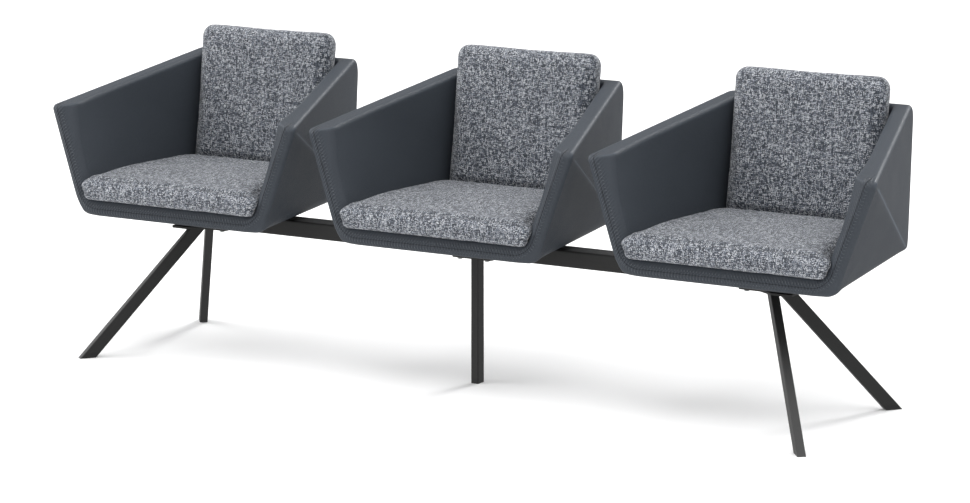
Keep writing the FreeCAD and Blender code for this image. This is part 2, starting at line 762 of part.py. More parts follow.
    def back_board(self):
        """The flat board inside the back."""
        rear = moved(self.rear_face, -size("board_cover"))
        front = moved(rear, -size("board_thickness"))
        return trimmed(self.outer(size("board_margin")), [rear, turned(front), self.above_deck])

    def seat_board(self):
        """The flat board under the seat cushion, flush with the deck."""
        margin = size("board_margin")
        side = [moved(cut, -margin) for cut in (self.side_front, self.side_rear)]
        ends = [moved(cut, -margin) for cut in (self.face, self.rear_face)]
        underside = level(size("deck_height") - size("seat_board_thickness"), -1)
        cuts = ends + side + [mirrored(cut) for cut in side] + [self.deck, underside]
        board = trimmed(self.block(), cuts)
        for x, y in seat_bolt_places(SEATS["centre"]):
            foot = Vector(value(x), value(y), value(UNDER_BRACKET))
            depth = size("bolt_length") + size("soft_gap")
            board = board.cut(Part.makeCylinder(value(SEAT_HOLE), depth, foot))
        return board

    def base_panel(self, board):
        """The padded base: the lip, the border round the board and the underside."""
        long = size("bracket_length") + 2 * size("bracket_gap")
        deep = size("bracket_depth") + 2 * size("bracket_gap")
        room = Part.makeBox(long, deep, size("deck_height"), Vector(-long / 2, -deep / 2, 0))
        solid = trimmed(self.outer(), [self.deck] + self.lip_bevels())
        return solid.cut(board).cut(room)

    def back_panel(self, board):
        """The padded back over the full width of the chair."""
        start = meeting(self.middle, self.inner_back, self.top)
        bevel = edge_bevel(start, start + Vector(1, 0, 0), Vector(0, 1, 0), size("edge_bevel"),
                           Vector(0, 0, -1), size("edge_bevel"))
        return trimmed(self.outer(), [self.above_deck, turned(self.inner_back), bevel]).cut(board)

    def arm_panel(self, in_front, board):
        """Half of the right arm's padding: in front of the crease, or behind it."""
        limits = [self.above_deck, self.inner_back, self.rim_bevel(), self.arm_top_bevel()]
        if in_front:
            limits += [turned(self.inner_front), turned(self.split)]
        else:
            limits += [turned(self.inner_rear), self.split]
        return trimmed(self.outer(), limits + [turned(self.middle)]).cut(board)

    def cushion_outline(self, height):
        """The seat cushion's level outline at a height, inside the arms and over the lip."""
        gap = size("soft_gap")
        plane = level(height)
        front = moved(self.face, size("seat_overhang"))
        rear = moved(self.inner_back, -size("back_cushion") - 2 * gap)
        bevel = moved(self.rim_bevel(), gap)
        inner = [moved(cut, -gap) for cut in (self.inner_front, self.inner_rear)]
        rear_corner = min((meeting(plane, rear, cut) for cut in inner), key=lambda point: point.x)
        half = [rear_corner, meeting(plane, inner[0], bevel), meeting(plane, front, bevel)]
        corners = half + [Vector(-p.x, p.y, p.z) for p in reversed(half)]
        radii = [size("seat_rear_corner"), size("seat_waist"), size("seat_corner")]
        return rounded_wire(corners, radii + radii[::-1])

    def seat_cushion(self):
        """The seat cushion as a plain closed solid with round edges."""
        low = size("deck_height")
        high = low + size("seat_cushion")
        solid = Part.makeLoft([self.cushion_outline(low), self.cushion_outline(high)], True, True)
        for height, radius in ((high, size("seat_top_round")), (low, size("seat_base_round"))):
            rim = [edge for edge in solid.Edges
                   if all(abs(vertex.Z - height) < 1e-3 for vertex in edge.Vertexes)]
            solid = solid.makeFillet(radius, rim)
        return solid

    def back_cushion(self):
        """The back cushion, which leans on the back and is wider in front, with round edges."""
        rear = moved(self.inner_back, -size("soft_gap"))
        low = size("deck_height") + size("soft_gap")
        high = low + size("rear_top_rise") + size("back_cushion_rise")
        foot = meeting(self.middle, rear, level(low))
        head = meeting(self.middle, rear, level(high))
        half_width = Vector(size("back_cushion_half_width"), 0, 0)
        spread = Vector(size("back_cushion_spread"), 0, 0)
        outlines = []
        for plane, side in ((rear, half_width), (moved(rear, -size("back_cushion")), half_width + spread)):
            shift = plane.point - rear.point
            corners = [end + hand * side + shift
                       for end, hand in ((foot, -1), (foot, 1), (head, 1), (head, -1))]
            outlines.append(rounded_wire(corners, [size("back_corner")] * len(corners)))
        solid = Part.makeLoft(outlines, True, True)
        edges = [edge for outline in outlines for edge in solid.Edges
                 if all(outline.distToShape(vertex)[0] < 1e-3 for vertex in edge.Vertexes)]
        return solid.makeFillet(size("back_edge_round"), edges)


def mirror_shape(shape):
    """The shape on the other side of the chair."""
    return shape.mirror(Vector(), Vector(1, 0, 0))


def shaped(label, shape, side):
    """A sub-part whose shape is made above, placed at its seat on the beam."""
    part = doc.addObject("Part::Feature", label)
    part.Shape = shape
    part.Placement = Placement(Vector(side * size("seat_pitch"), 0, 0), Rotation())
    return keep(part, label)


def make_chair(name, side, shell):
    """One chair: boards, padded walls, cushions and the bracket."""
    seat_board = shell.seat_board()
    back_board = shell.back_board()
    arm_board = shell.arm_board()
    shaped(f"{name}_chair_seat_board", seat_board, side)
    shaped(f"{name}_chair_back_board", back_board, side)
    shaped(f"{name}_chair_base_panel", shell.base_panel(seat_board), side)
    shaped(f"{name}_chair_back_panel", shell.back_panel(back_board), side)
    arm_front = shell.arm_panel(True, arm_board)
    arm_rear = shell.arm_panel(False, arm_board)
    for hand, place in (("right", lambda shape: shape), ("left", mirror_shape)):
        shaped(f"{name}_chair_{hand}_arm_board", place(arm_board), side)
        shaped(f"{name}_chair_{hand}_arm_front_panel", place(arm_front), side)
        shaped(f"{name}_chair_{hand}_arm_rear_panel", place(arm_rear), side)
    shaped(f"{name}_chair_seat_cushion", shell.seat_cushion(), side)
    shaped(f"{name}_chair_back_cushion", shell.back_cushion(), side)
    make_bracket(side, f"{name}_chair_bracket")


def check_and_write():
    """Stop at any failed object, then write each sub-part to its own file."""
    doc.recompute()
    failed = [item.Name for item in doc.Objects if {"Invalid", "Error"} & set(item.State)]
    if failed:
        raise RuntimeError("failed objects: " + ", ".join(failed))
    for node in nodes:
        if node.Shape.isNull() or not node.Shape.isValid():
            raise RuntimeError("bad shape: " + node.Label)
    os.makedirs("parts", exist_ok=True)
    for node in nodes:
        node.Shape.exportStep(f"parts/{node.Label}.step")
        solids = len(node.Shape.Solids)
        print(f"{node.Label:36s} solids {solids:3d}  volume {node.Shape.Volume / 1000:9.1f} cm3")
    print(len(nodes), "nodes")


make_beam()
make_end_cap(-1, "left_beam_cap")
make_end_cap(1, "right_beam_cap")
make_end_plate(-1, "left_leg_plate")
make_centre_plate("centre_leg_plate")
make_end_plate(1, "right_leg_plate")
for leg_name, (leg_side, leg_depth) in LEGS.items():
    make_leg(leg_name, leg_side, leg_depth)
    make_glide(leg_name, leg_side, leg_depth)
chair_shell = Shell()
for seat_name, seat_side in SEATS.items():
    make_chair(seat_name, seat_side, chair_shell)
make_bolts()
check_and_write()
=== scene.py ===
"""Beam seating: the looks of three upholstered armchairs on a beam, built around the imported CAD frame.

Metres, in the frame of the CAD: +X runs along the beam, +Y to the backs of the chairs, +Z up.
"""

import logging
import math
from dataclasses import dataclass
from enum import Enum
from typing import Callable

import bmesh
import bpy
import numpy as np
from mathutils import Matrix, Vector


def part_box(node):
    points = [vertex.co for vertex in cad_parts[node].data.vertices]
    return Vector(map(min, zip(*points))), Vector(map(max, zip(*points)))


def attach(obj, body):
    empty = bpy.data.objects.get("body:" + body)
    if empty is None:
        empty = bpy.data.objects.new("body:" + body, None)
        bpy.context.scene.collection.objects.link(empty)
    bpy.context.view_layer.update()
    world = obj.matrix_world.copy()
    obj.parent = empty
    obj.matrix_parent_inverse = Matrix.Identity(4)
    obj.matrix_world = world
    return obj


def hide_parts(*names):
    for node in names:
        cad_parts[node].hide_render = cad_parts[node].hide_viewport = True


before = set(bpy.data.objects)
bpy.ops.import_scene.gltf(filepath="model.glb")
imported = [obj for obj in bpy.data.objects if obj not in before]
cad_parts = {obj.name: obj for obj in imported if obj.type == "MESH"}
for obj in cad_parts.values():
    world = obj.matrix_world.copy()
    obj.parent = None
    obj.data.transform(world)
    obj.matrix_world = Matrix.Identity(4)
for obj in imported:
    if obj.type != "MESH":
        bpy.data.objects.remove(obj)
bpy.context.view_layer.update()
LOG = logging.getLogger("beam_seating")

Array = np.ndarray
Triple = tuple[float, float, float]
Distance = Callable[[Array], Array]


class Seat(Enum):
    """The three chairs, with the first word of their nodes' names."""

    LEFT = "left"
    CENTRE = "centre"
    RIGHT = "right"

    def node(self, part: str) -> str:
        """The name of a part of this chair."""
        return f"{self.value}_chair_{part}"


# Distances: smooth solids are given by a function that is negative inside them

def round_max(a: Array, b: Array, radius: Array | float) -> Array:
    """The overlap of two solids, with the edge between them rounded.

    Args:
        a: Distance to the first solid.
        b: Distance to the second solid.
        radius: Radius of the edge, one value or one for each place.

    Returns:
        Distance to the part that both share.
    """
    corner = np.hypot(np.maximum(a + radius, 0.0), np.maximum(b + radius, 0.0))
    return np.minimum(-radius, np.maximum(a, b)) + corner


def round_min(a: Array, b: Array, radius: Array | float) -> Array:
    """The union of two solids, with the hollow between them filled to a radius."""
    return -round_max(-a, -b, radius)


def ramp(value: Array, low: float, high: float) -> Array:
    """A smooth step from 0 at low to 1 at high."""
    share = np.clip((value - low) / (high - low), 0.0, 1.0)
    return share * share * (3.0 - 2.0 * share)


def slope_of(distance: Distance, places: Array, reach: float = 2e-4) -> Array:
    """How a distance grows along X, Y and Z.

    Args:
        distance: The function.
        places: Points, one in each row.
        reach: Half the length over which the growth is measured.

    Returns:
        One vector for each point.
    """
    slope = np.empty_like(places)
    for axis in range(3):
        step = np.zeros(3)
        step[axis] = reach
        slope[:, axis] = (distance(places + step) - distance(places - step)) / (2.0 * reach)
    return slope


def settle(distance: Distance, places: Array, rounds: int, most: float, level: float = 0.0) -> Array:
    """Move points along the slope until they lie where a distance has a given level.

    Args:
        distance: The function.
        places: Points, one in each row.
        rounds: How many times they are moved.
        most: The furthest that one round may move a point.
        level: The distance to reach.

    Returns:
        The moved points.
    """
    for _ in range(rounds):
        slope = slope_of(distance, places)
        steep = np.maximum((slope * slope).sum(1), 1e-6)
        move = slope * ((level - distance(places)) / steep)[:, None]
        far = np.linalg.norm(move, axis=1, keepdims=True)
        places = places + move * np.minimum(1.0, most / np.maximum(far, 1e-12))
    return places


@dataclass(frozen=True)
class Plane:
    """A flat face: one of its points and the direction away from the solid."""

    point: Array
    outward: Array

    @classmethod
    def through(cls, a: Array, b: Array, c: Array, inside: Array) -> "Plane":
        """The plane through three points, with a fourth on its inner side."""
        normal = np.cross(b - a, c - a)
        normal = normal / np.linalg.norm(normal)
        return cls(a, -normal if normal @ (inside - a) > 0 else normal)

    def reach(self, places: Array) -> Array:
        """How far points lie outside the plane."""
        return (places - self.point) @ self.outward


# Meshes

def surface_net(distance: Distance, low: Array, high: Array, step: float) -> tuple[Array, Array]:
    """Skin a solid with evenly spread four-sided faces.

    Args:
        distance: The solid.
        low: Lowest corner of the space that is searched.
        high: Its highest corner.
        step: Size of the faces.

    Returns:
        The points and the faces, which point outwards.
    """
    axes = [np.arange(start, end + step, step) for start, end in zip(low, high)]
    inside = distance(np.stack(np.meshgrid(*axes, indexing="ij"), axis=-1)) < 0
    corners = np.zeros([count - 1 for count in inside.shape], np.int8)
    for dx in (0, 1):
        for dy in (0, 1):
            for dz in (0, 1):
                nx, ny, nz = (count - 1 for count in inside.shape)
                corners += inside[dx:nx + dx, dy:ny + dy, dz:nz + dz]
    mixed = (corners > 0) & (corners < 8)
    number = np.full(mixed.shape, -1)
    number[mixed] = np.arange(mixed.sum())
    places = np.array([axis[0] for axis in axes]) + (np.argwhere(mixed) + 0.5) * step
    faces = []
    for axis in range(3):
        a, b = (axis + 1) % 3, (axis + 2) % 3
        first = np.delete(inside, -1, axis)
        crossing = first != np.delete(inside, 0, axis)
        edges = np.argwhere(crossing)
        turned = ~first[crossing]
        ring = []
        for shift_a, shift_b in ((0, 0), (-1, 0), (-1, -1), (0, -1)):
            cell = edges.copy()
            cell[:, a] += shift_a
            cell[:, b] += shift_b
            ring.append(number[tuple(cell.T)])
        quads = np.stack(ring, axis=1)
        quads[turned] = quads[turned][:, ::-1]
        faces.append(quads)
    faces = np.concatenate(faces)
    places = settle(distance, places, 4, step)
    for _ in range(4):
        places = settle(distance, neighbour_mean(places, faces), 2, step)
    return places, faces


def neighbour_mean(places: Array, faces: Array) -> Array:
    """The middle of each point's neighbours along the faces' edges."""
    ends = np.concatenate([faces, np.roll(faces, 1, axis=1)]).ravel()
    others = np.concatenate([np.roll(faces, 1, axis=1), faces]).ravel()
    count = np.maximum(np.bincount(ends, minlength=len(places)), 1)
    sums = [np.bincount(ends, places[others, axis], len(places)) for axis in range(3)]
    return np.stack(sums, axis=1) / count[:, None]


def write_attribute(mesh: bpy.types.Mesh, name: str, values: Array) -> None:
    """Store one number for each point of a mesh, for the materials to read."""
    attribute = mesh.attributes.new(name, "FLOAT", "POINT")
    attribute.data.foreach_set("value", np.ascontiguousarray(values, np.float32))


def places_of(mesh: bpy.types.Mesh) -> Array:
    """The points of a mesh, one in each row."""
    flat = np.empty(len(mesh.vertices) * 3, np.float32)
    mesh.vertices.foreach_get("co", flat)
    return flat.reshape(-1, 3).astype(float)


def set_places(mesh: bpy.types.Mesh, places: Array) -> None:
    """Move the points of a mesh."""
    mesh.vertices.foreach_set("co", np.ascontiguousarray(places, np.float32).ravel())
    mesh.update()


def add_object(name: str, mesh: bpy.types.Mesh) -> bpy.types.Object:
    """Put a mesh in the scene as an object at the origin."""
    mesh.name = name
    item = bpy.data.objects.new(name, mesh)
    bpy.context.scene.collection.objects.link(item)
    return item


def baked_mesh(item: bpy.types.Object) -> bpy.types.Mesh:
    """The plain mesh that an object's modifiers give."""
    graph = bpy.context.evaluated_depsgraph_get()
    return bpy.data.meshes.new_from_object(item.evaluated_get(graph))


# Node trees

class Graph:
    """Short hand for adding and joining the nodes of one tree."""

    def __init__(self, tree: bpy.types.NodeTree) -> None:
        """Start with an empty tree."""
        self.tree = tree
        tree.nodes.clear()

    def add(self, kind: str, feed: dict | None = None, **settings: object) -> bpy.types.Node:
        """Add a node, set its properties and feed its inputs, which are given by name or number."""
        node = self.tree.nodes.new(kind)
        for name, value in settings.items():
            setattr(node, name, value)
        for label, value in (feed or {}).items():
            self.join(value, node.inputs[label])
        return node

    def join(self, source: object, target: bpy.types.NodeSocket) -> None:
        """Link a socket to another, or set the other to a plain value."""
        if isinstance(source, bpy.types.NodeSocket):
            self.tree.links.new(source, target)
        else:
            target.default_value = source

    def math(self, operation: str, *values: object, clamp: bool = False) -> bpy.types.NodeSocket:
        """A calculation with one to three numbers or sockets."""
        feed = dict(enumerate(values))
        return self.add("ShaderNodeMath", feed, operation=operation, use_clamp=clamp).outputs[0]

    def blend(self, share: object, first: object, second: object) -> bpy.types.NodeSocket:
        """A colour between two colours."""
        return self.add("ShaderNodeMix", {0: share, 6: first, 7: second}, data_type="RGBA").outputs[2]

    def noise(self, vector: object, scale: float, detail: float = 2.0) -> bpy.types.NodeSocket:
        """Soft noise from 0 to 1."""
        feed = {"Vector": vector, "Scale": scale, "Detail": detail}
        return self.add("ShaderNodeTexNoise", feed).outputs[0]

    def attribute(self, name: str) -> bpy.types.NodeSocket:
        """A number that the mesh holds for each point."""
        return self.add("ShaderNodeAttribute", attribute_name=name).outputs["Fac"]


def new_group(name: str, kind: str, inputs: dict[str, str],
              outputs: dict[str, str]) -> tuple[Graph, dict, dict]:
    """An empty node group with named sockets.

    Args:
        name: Name of the group.
        kind: Type of its tree.
        inputs: Socket types of the inputs by name.
        outputs: Socket types of the outputs by name.

    Returns:
        The graph, the sockets that give the inputs and the sockets that take the outputs.
    """
    tree = bpy.data.node_groups.new(name, kind)
    graph = Graph(tree)
    for label, socket in inputs.items():
        tree.interface.new_socket(label, in_out="INPUT", socket_type=socket)
    for label, socket in outputs.items():
        tree.interface.new_socket(label, in_out="OUTPUT", socket_type=socket)
    start, end = graph.add("NodeGroupInput"), graph.add("NodeGroupOutput")
    return graph, {s.name: s for s in start.outputs}, {s.name: s for s in end.inputs}


FLOAT, VECTOR = "NodeSocketFloat", "NodeSocketVector"


class Effects:
    """Shader node groups that several finishes share, each built once."""

    def __init__(self) -> None:
        """Build all the groups."""
        self.mottle = self._mottle()
        self.pebble = self._pebble()
        self.seam = self._seam()
        self.weave = self._weave()

    @staticmethod
    def _mottle() -> bpy.types.NodeTree:
        """Slow and fine variation of a surface, as a share from 0 to 1."""
        graph, given, wanted = new_group(
            "mottle", "ShaderNodeTree", {"Vector": VECTOR}, {"Slow": FLOAT, "Fine": FLOAT})
        graph.join(graph.noise(given["Vector"], 9.0, 3.0), wanted["Slow"])
        graph.join(graph.noise(given["Vector"], 420.0, 2.0), wanted["Fine"])
        return graph.tree

    @staticmethod
    def _pebble() -> bpy.types.NodeTree:
        """The small cells of embossed leatherette, with their height."""
        graph, given, wanted = new_group(
            "pebble", "ShaderNodeTree", {"Vector": VECTOR, "Scale": FLOAT}, {"Height": FLOAT})
        wobble = graph.add("ShaderNodeTexNoise", {"Scale": 160.0, "Vector": given["Vector"]})
        bent = graph.add("ShaderNodeVectorMath", {
            0: wobble.outputs["Color"], 1: (0.0012, 0.0012, 0.0012), 2: given["Vector"]},
            operation="MULTIPLY_ADD")
        cells = graph.add("ShaderNodeTexVoronoi", {"Vector": bent.outputs[0], "Scale": given["Scale"]},
                          feature="DISTANCE_TO_EDGE")
        raised = graph.math("SMOOTH_MIN", cells.outputs["Distance"], 0.16, 0.1)
        graph.join(graph.math("MULTIPLY", raised, 6.0), wanted["Height"])
        return graph.tree

    @staticmethod
    def _seam() -> bpy.types.NodeTree:
        """A sewn seam with puckers across it.

        Across and Along are lengths in metres from the seam and down its run, Near fades it out. Shade is
        painted shade along the groove and in the dips between the puckers.
        """
        graph, given, wanted = new_group(
            "seam", "ShaderNodeTree",
            {"Across": FLOAT, "Along": FLOAT, "Near": FLOAT, "Pitch": FLOAT, "Reach": FLOAT, "Width": FLOAT},
            {"Height": FLOAT, "Shade": FLOAT})
        away = graph.math("ABSOLUTE", given["Across"])
        depth = graph.math("MULTIPLY", graph.math("DIVIDE", away, given["Width"]), -1.0)
        groove = graph.math("EXPONENT", depth)
        turns = graph.math("DIVIDE", given["Along"], given["Pitch"])
        wave = graph.math("SINE", graph.math("MULTIPLY", turns, 2.0 * math.pi))
        part = graph.math("DIVIDE", away, given["Reach"])
        fade = graph.math("EXPONENT", graph.math("MULTIPLY", graph.math("POWER", part, 2.0), -1.0))
        puckers = graph.math("MULTIPLY", graph.math("MULTIPLY", wave, fade), 0.5)
        height = graph.math("SUBTRACT", puckers, graph.math("MULTIPLY", groove, 1.6))
        graph.join(graph.math("MULTIPLY", height, given["Near"]), wanted["Height"])
        # Painted shade: dark along the groove and in the dips between the puckers.
        dark = graph.math("SUBTRACT", graph.math("MULTIPLY", groove, 0.8),
                          graph.math("MULTIPLY", puckers, 0.5))
        graph.join(graph.math("MULTIPLY", dark, given["Near"]), wanted["Shade"])
        return graph.tree

    @staticmethod
    def _weave() -> bpy.types.NodeTree:
        """A plain weave of mixed light and dark threads.

        Vector counts threads, Tone runs from the darkest to the lightest yarn and Height is the relief.
        """
        graph, given, wanted = new_group(
            "weave", "ShaderNodeTree", {"Vector": VECTOR, "Run": FLOAT}, {"Tone": FLOAT, "Height": FLOAT})
        split = graph.add("ShaderNodeSeparateXYZ", {0: given["Vector"]})
        u, v = split.outputs[0], split.outputs[1]
        column, row = graph.math("FLOOR", u), graph.math("FLOOR", v)

        def yarn(across: object, down: object, seed: float) -> bpy.types.NodeSocket:
            """The tone of one thread, which changes along its run."""
            shift = graph.add("ShaderNodeTexWhiteNoise", {"W": graph.math("ADD", across, seed)},
                              noise_dimensions="1D")
            along = graph.math("DIVIDE", down, given["Run"])
            stretch = graph.math("FLOOR", graph.math("ADD", along, shift.outputs[0]))
            place = graph.add("ShaderNodeCombineXYZ", {0: across, 1: stretch, 2: seed})
            tone = graph.add("ShaderNodeTexWhiteNoise", {"Vector": place.outputs[0]}, noise_dimensions="3D")
            return tone.outputs[0]

        upper = graph.math("FLOORED_MODULO", graph.math("ADD", column, row), 2.0)
        warp, weft = yarn(column, v, 3.0), yarn(row, u, 11.0)
        tone = graph.math("ADD", graph.math("MULTIPLY", warp, upper),
                          graph.math("MULTIPLY", weft, graph.math("SUBTRACT", 1.0, upper)))
        graph.join(tone, wanted["Tone"])
        arch_u = graph.math("ABSOLUTE", graph.math("SINE", graph.math("MULTIPLY", u, math.pi)))
        arch_v = graph.math("ABSOLUTE", graph.math("SINE", graph.math("MULTIPLY", v, math.pi)))
        graph.join(graph.math("MULTIPLY", arch_u, arch_v), wanted["Height"])
        return graph.tree


@dataclass(frozen=True)
class Finish:
    """What all finishes share: a name, a base colour and the gloss."""

    name: str
    colour: Triple
    roughness: float
    effects: Effects

    def start(self) -> tuple[Graph, bpy.types.Node, bpy.types.Material]:
        """A material with its shader and output joined.

        Returns:
            The graph, the shader node and the material.
        """
        material = bpy.data.materials.new(self.name)
        material.use_nodes = True
        material.diffuse_color = (*self.colour, 1.0)
        graph = Graph(material.node_tree)
        shader = graph.add("ShaderNodeBsdfPrincipled")
        graph.add("ShaderNodeOutputMaterial", {0: shader.outputs[0]})
        shader.inputs["Roughness"].default_value = self.roughness
        return graph, shader, material

    def place(self, graph: Graph) -> bpy.types.NodeSocket:
        """Object coordinates, in metres."""
        return graph.add("ShaderNodeTexCoord").outputs["Object"]

    def effect(self, graph: Graph, tree: bpy.types.NodeTree, **values: object) -> bpy.types.Node:
        """Place a shared effect with its own values."""
        return graph.add("ShaderNodeGroup", values, node_tree=tree)

    def bump(self, graph: Graph, height: object, distance: float,
             under: object = None) -> bpy.types.NodeSocket:
        """A normal from a height, on top of another normal if one is given."""
        feed = {"Distance": distance, "Height": height}
        if under is not None:
            feed["Normal"] = under
        return graph.add("ShaderNodeBump", feed).outputs[0]

    def tint(self, factor: float) -> tuple[float, float, float, float]:
        """The base colour made lighter or darker."""
        return (*(min(1.0, part * factor) for part in self.colour), 1.0)


@dataclass(frozen=True)
class Leatherette(Finish):
    """Embossed leatherette with its seam, its crease line and a painted highlight along its convex edges."""

    cell: float = 0.0016
    pucker: float = 0.0078

    def build(self) -> bpy.types.Material:
        """Make the material."""
        graph, shader, material = self.start()
        place = self.place(graph)
        mottle = self.effect(graph, self.effects.mottle, Vector=place)
        pebble = self.effect(graph, self.effects.pebble, Vector=place, Scale=1.0 / self.cell)
        rim = self.effect(graph, self.effects.seam, Across=graph.attribute("rim_across"),
                          Along=graph.attribute("rim_along"), Near=graph.attribute("rim_near"),
                          Pitch=self.pucker, Reach=0.011, Width=0.0011)
        crease = self.effect(graph, self.effects.seam, Across=graph.attribute("crease_across"),
                             Along=graph.attribute("crease_along"), Near=graph.attribute("crease_near"),
                             Pitch=0.006, Reach=0.003, Width=0.0024)
        body = graph.blend(mottle.outputs["Slow"], self.tint(0.9), self.tint(1.1))
        valley = graph.math("SUBTRACT", 1.0, pebble.outputs["Height"])
        # Painted shade: the valleys between the embossed cells are darkened towards 0.55 of the base colour.
        grain_and_valley_shade = graph.math("MULTIPLY", valley, 0.45, clamp=True)
        body = graph.blend(grain_and_valley_shade, body, self.tint(0.55))
        # Painted highlight: convex edges are lightened towards twice the base colour.
        body = graph.blend(graph.math("MULTIPLY", graph.attribute("painted_edge_highlight"), 0.35), body, self.tint(2.0))
        light_line = graph.math("MULTIPLY", crease.outputs["Shade"], 0.8, clamp=True)
        body = graph.blend(light_line, body, self.tint(3.0))
        # Painted shade: the rim's seam groove and pucker dips are darkened towards 0.3 of the base colour.
        graph.join(graph.blend(rim.outputs["Shade"], body, self.tint(0.3)), shader.inputs["Base Color"])
        gloss = graph.math("MULTIPLY", graph.math("SUBTRACT", mottle.outputs["Slow"], 0.5), 0.16)
        gloss = graph.math("ADD", gloss, graph.math("MULTIPLY", graph.attribute("painted_edge_highlight"), -0.08))
        graph.join(graph.math("ADD", gloss, self.roughness), shader.inputs["Roughness"])
        relief = self.bump(graph, pebble.outputs["Height"], 0.00012)
        relief = self.bump(graph, rim.outputs["Height"], 0.0016, relief)
        relief = self.bump(graph, crease.outputs["Height"], 0.0002, relief)
        graph.join(self.bump(graph, mottle.outputs["Slow"], 0.0012, relief), shader.inputs["Normal"])
        shader.inputs["Specular IOR Level"].default_value = 0.22
        return material


@dataclass(frozen=True)
class Melange(Finish):
    """Woven upholstery of light and dark yarns, which reads the piece's UV map."""

    light: Triple = (0.7, 0.72, 0.75)
    thread: float = 0.0019
    run: float = 3.0

    def build(self) -> bpy.types.Material:
        """Make the material."""
        graph, shader, material = self.start()
        cloth = graph.add("ShaderNodeUVMap", uv_map="UVMap").outputs[0]
        threads = graph.add("ShaderNodeVectorMath", {0: cloth, "Scale": 1.0 / self.thread}, operation="SCALE")
        weave = self.effect(graph, self.effects.weave, Vector=threads.outputs[0], Run=self.run)
        place = self.place(graph)
        mottle = self.effect(graph, self.effects.mottle, Vector=place)
        clump = graph.noise(place, 90.0, 2.0)
        tone = graph.math("MULTIPLY_ADD", graph.math("SUBTRACT", clump, 0.5), 0.2, weave.outputs["Tone"])
        ramp_node = graph.add("ShaderNodeValToRGB", {0: tone})
        stops = ((0.0, self.tint(0.75)), (0.42, self.tint(1.25)), (0.62, self.tint(3.4)),
                 (1.0, (*self.light, 1.0)))
        elements = ramp_node.color_ramp.elements
        while len(elements) < len(stops):
            elements.new(0.5)
        for element, (position, colour) in zip(elements, stops):
            element.position = position
            element.color = colour
        # Painted shade: the gaps between the threads are darkened towards 0.7 of the base colour.
        valley = graph.math("MULTIPLY", graph.math("SUBTRACT", 1.0, weave.outputs["Height"]), 0.35)
        body = graph.blend(valley, ramp_node.outputs[0], self.tint(0.7))
        # Painted shade along the drawn-in seam groove, up to a quarter of the way to 0.6 of the base colour.
        seam = graph.math("MULTIPLY", graph.attribute("seam"), 0.25)
        graph.join(graph.blend(seam, body, self.tint(0.6)), shader.inputs["Base Color"])
        rough = graph.math("MULTIPLY_ADD", mottle.outputs["Slow"], 0.06, self.roughness)
        graph.join(rough, shader.inputs["Roughness"])
        relief = self.bump(graph, weave.outputs["Height"], 0.0005)
        graph.join(self.bump(graph, mottle.outputs["Slow"], 0.002, relief), shader.inputs["Normal"])
        shader.inputs["Sheen Weight"].default_value = 0.25
        shader.inputs["Sheen Roughness"].default_value = 0.5
        shader.inputs["Specular IOR Level"].default_value = 0.2
        return material


@dataclass(frozen=True)
class Coated(Finish):
    """Powder coat, moulded plastic, zinc or thread: fine relief with a little variation."""

    metal: float = 0.0
    relief: float = 0.0001
    scale: float = 1400.0
    spread: float = 0.12

    def build(self) -> bpy.types.Material:
        """Make the material."""
        graph, shader, material = self.start()
        place = self.place(graph)
        mottle = self.effect(graph, self.effects.mottle, Vector=place)
        body = graph.blend(mottle.outputs["Slow"], self.tint(1.0 - self.spread), self.tint(1.0 + self.spread))
        body = graph.blend(graph.math("MULTIPLY", mottle.outputs["Fine"], 0.25), body, self.tint(0.7))
        graph.join(body, shader.inputs["Base Color"])
        uneven = graph.math("SUBTRACT", mottle.outputs["Fine"], 0.5)
        rough = graph.math("MULTIPLY_ADD", uneven, 0.14, self.roughness)
        graph.join(rough, shader.inputs["Roughness"])
        grit = graph.noise(place, self.scale, 2.0)
        graph.join(self.bump(graph, grit, self.relief), shader.inputs["Normal"])
        shader.inputs["Metallic"].default_value = self.metal
        return material


@dataclass(frozen=True)
class Plywood(Finish):
    """Beech plywood: long grain on the faces and glue lines through the thickness."""

    ply: float = 0.003

    def build(self) -> bpy.types.Material:
        """Make the material."""
        graph, shader, material = self.start()
        place = self.place(graph)
        stretched = graph.add("ShaderNodeMapping", {"Scale": (6.0, 90.0, 90.0), "Vector": place})
        grain_and_valley_shade = graph.noise(stretched.outputs[0], 3.0, 4.0)
        split = graph.add("ShaderNodeSeparateXYZ", {0: place})
        layer = graph.math("SINE", graph.math("MULTIPLY", split.outputs[2], 2.0 * math.pi / self.ply))
        body = graph.blend(grain_and_valley_shade, self.tint(0.7), self.tint(1.15))
        line = graph.math("MULTIPLY", graph.math("MAXIMUM", layer, 0.0), 0.25)
        graph.join(graph.blend(line, body, self.tint(0.45)), shader.inputs["Base Color"])
        mottle = self.effect(graph, self.effects.mottle, Vector=place)
        rough = graph.math("MULTIPLY_ADD", mottle.outputs["Fine"], 0.2, self.roughness)
        graph.join(rough, shader.inputs["Roughness"])
        graph.join(self.bump(graph, grain_and_valley_shade, 0.0003), shader.inputs["Normal"])
        return material


class Wardrobe:
    """All the finishes of the seating, by the record's slots."""

    def __init__(self) -> None:
        """Build every material."""
        effects = Effects()
        self.leather = Leatherette("slate_leatherette", (0.050, 0.058, 0.070), 0.46, effects).build()
        self.fabric = Melange("grey_melange", (0.042, 0.048, 0.060), 0.85, effects).build()
        self.steel = Coated("black_powder_coat", (0.018, 0.018, 0.0178), 0.5, effects).build()
        self.plastic = Coated("black_plastic", (0.014, 0.014, 0.0145), 0.45, effects, relief=0.00005).build()
        self.zinc = Coated("zinc_bolt", (0.42, 0.43, 0.44), 0.32, effects, metal=1.0, relief=0.00004).build()
        self.thread = Coated("slate_thread", (0.11, 0.12, 0.135), 0.7, effects, scale=3000.0).build()
        self.wood = Plywood("beech_plywood", (0.5, 0.33, 0.18), 0.55, effects).build()


# Frame: the CAD nodes whose shapes are right keep them and get a finish

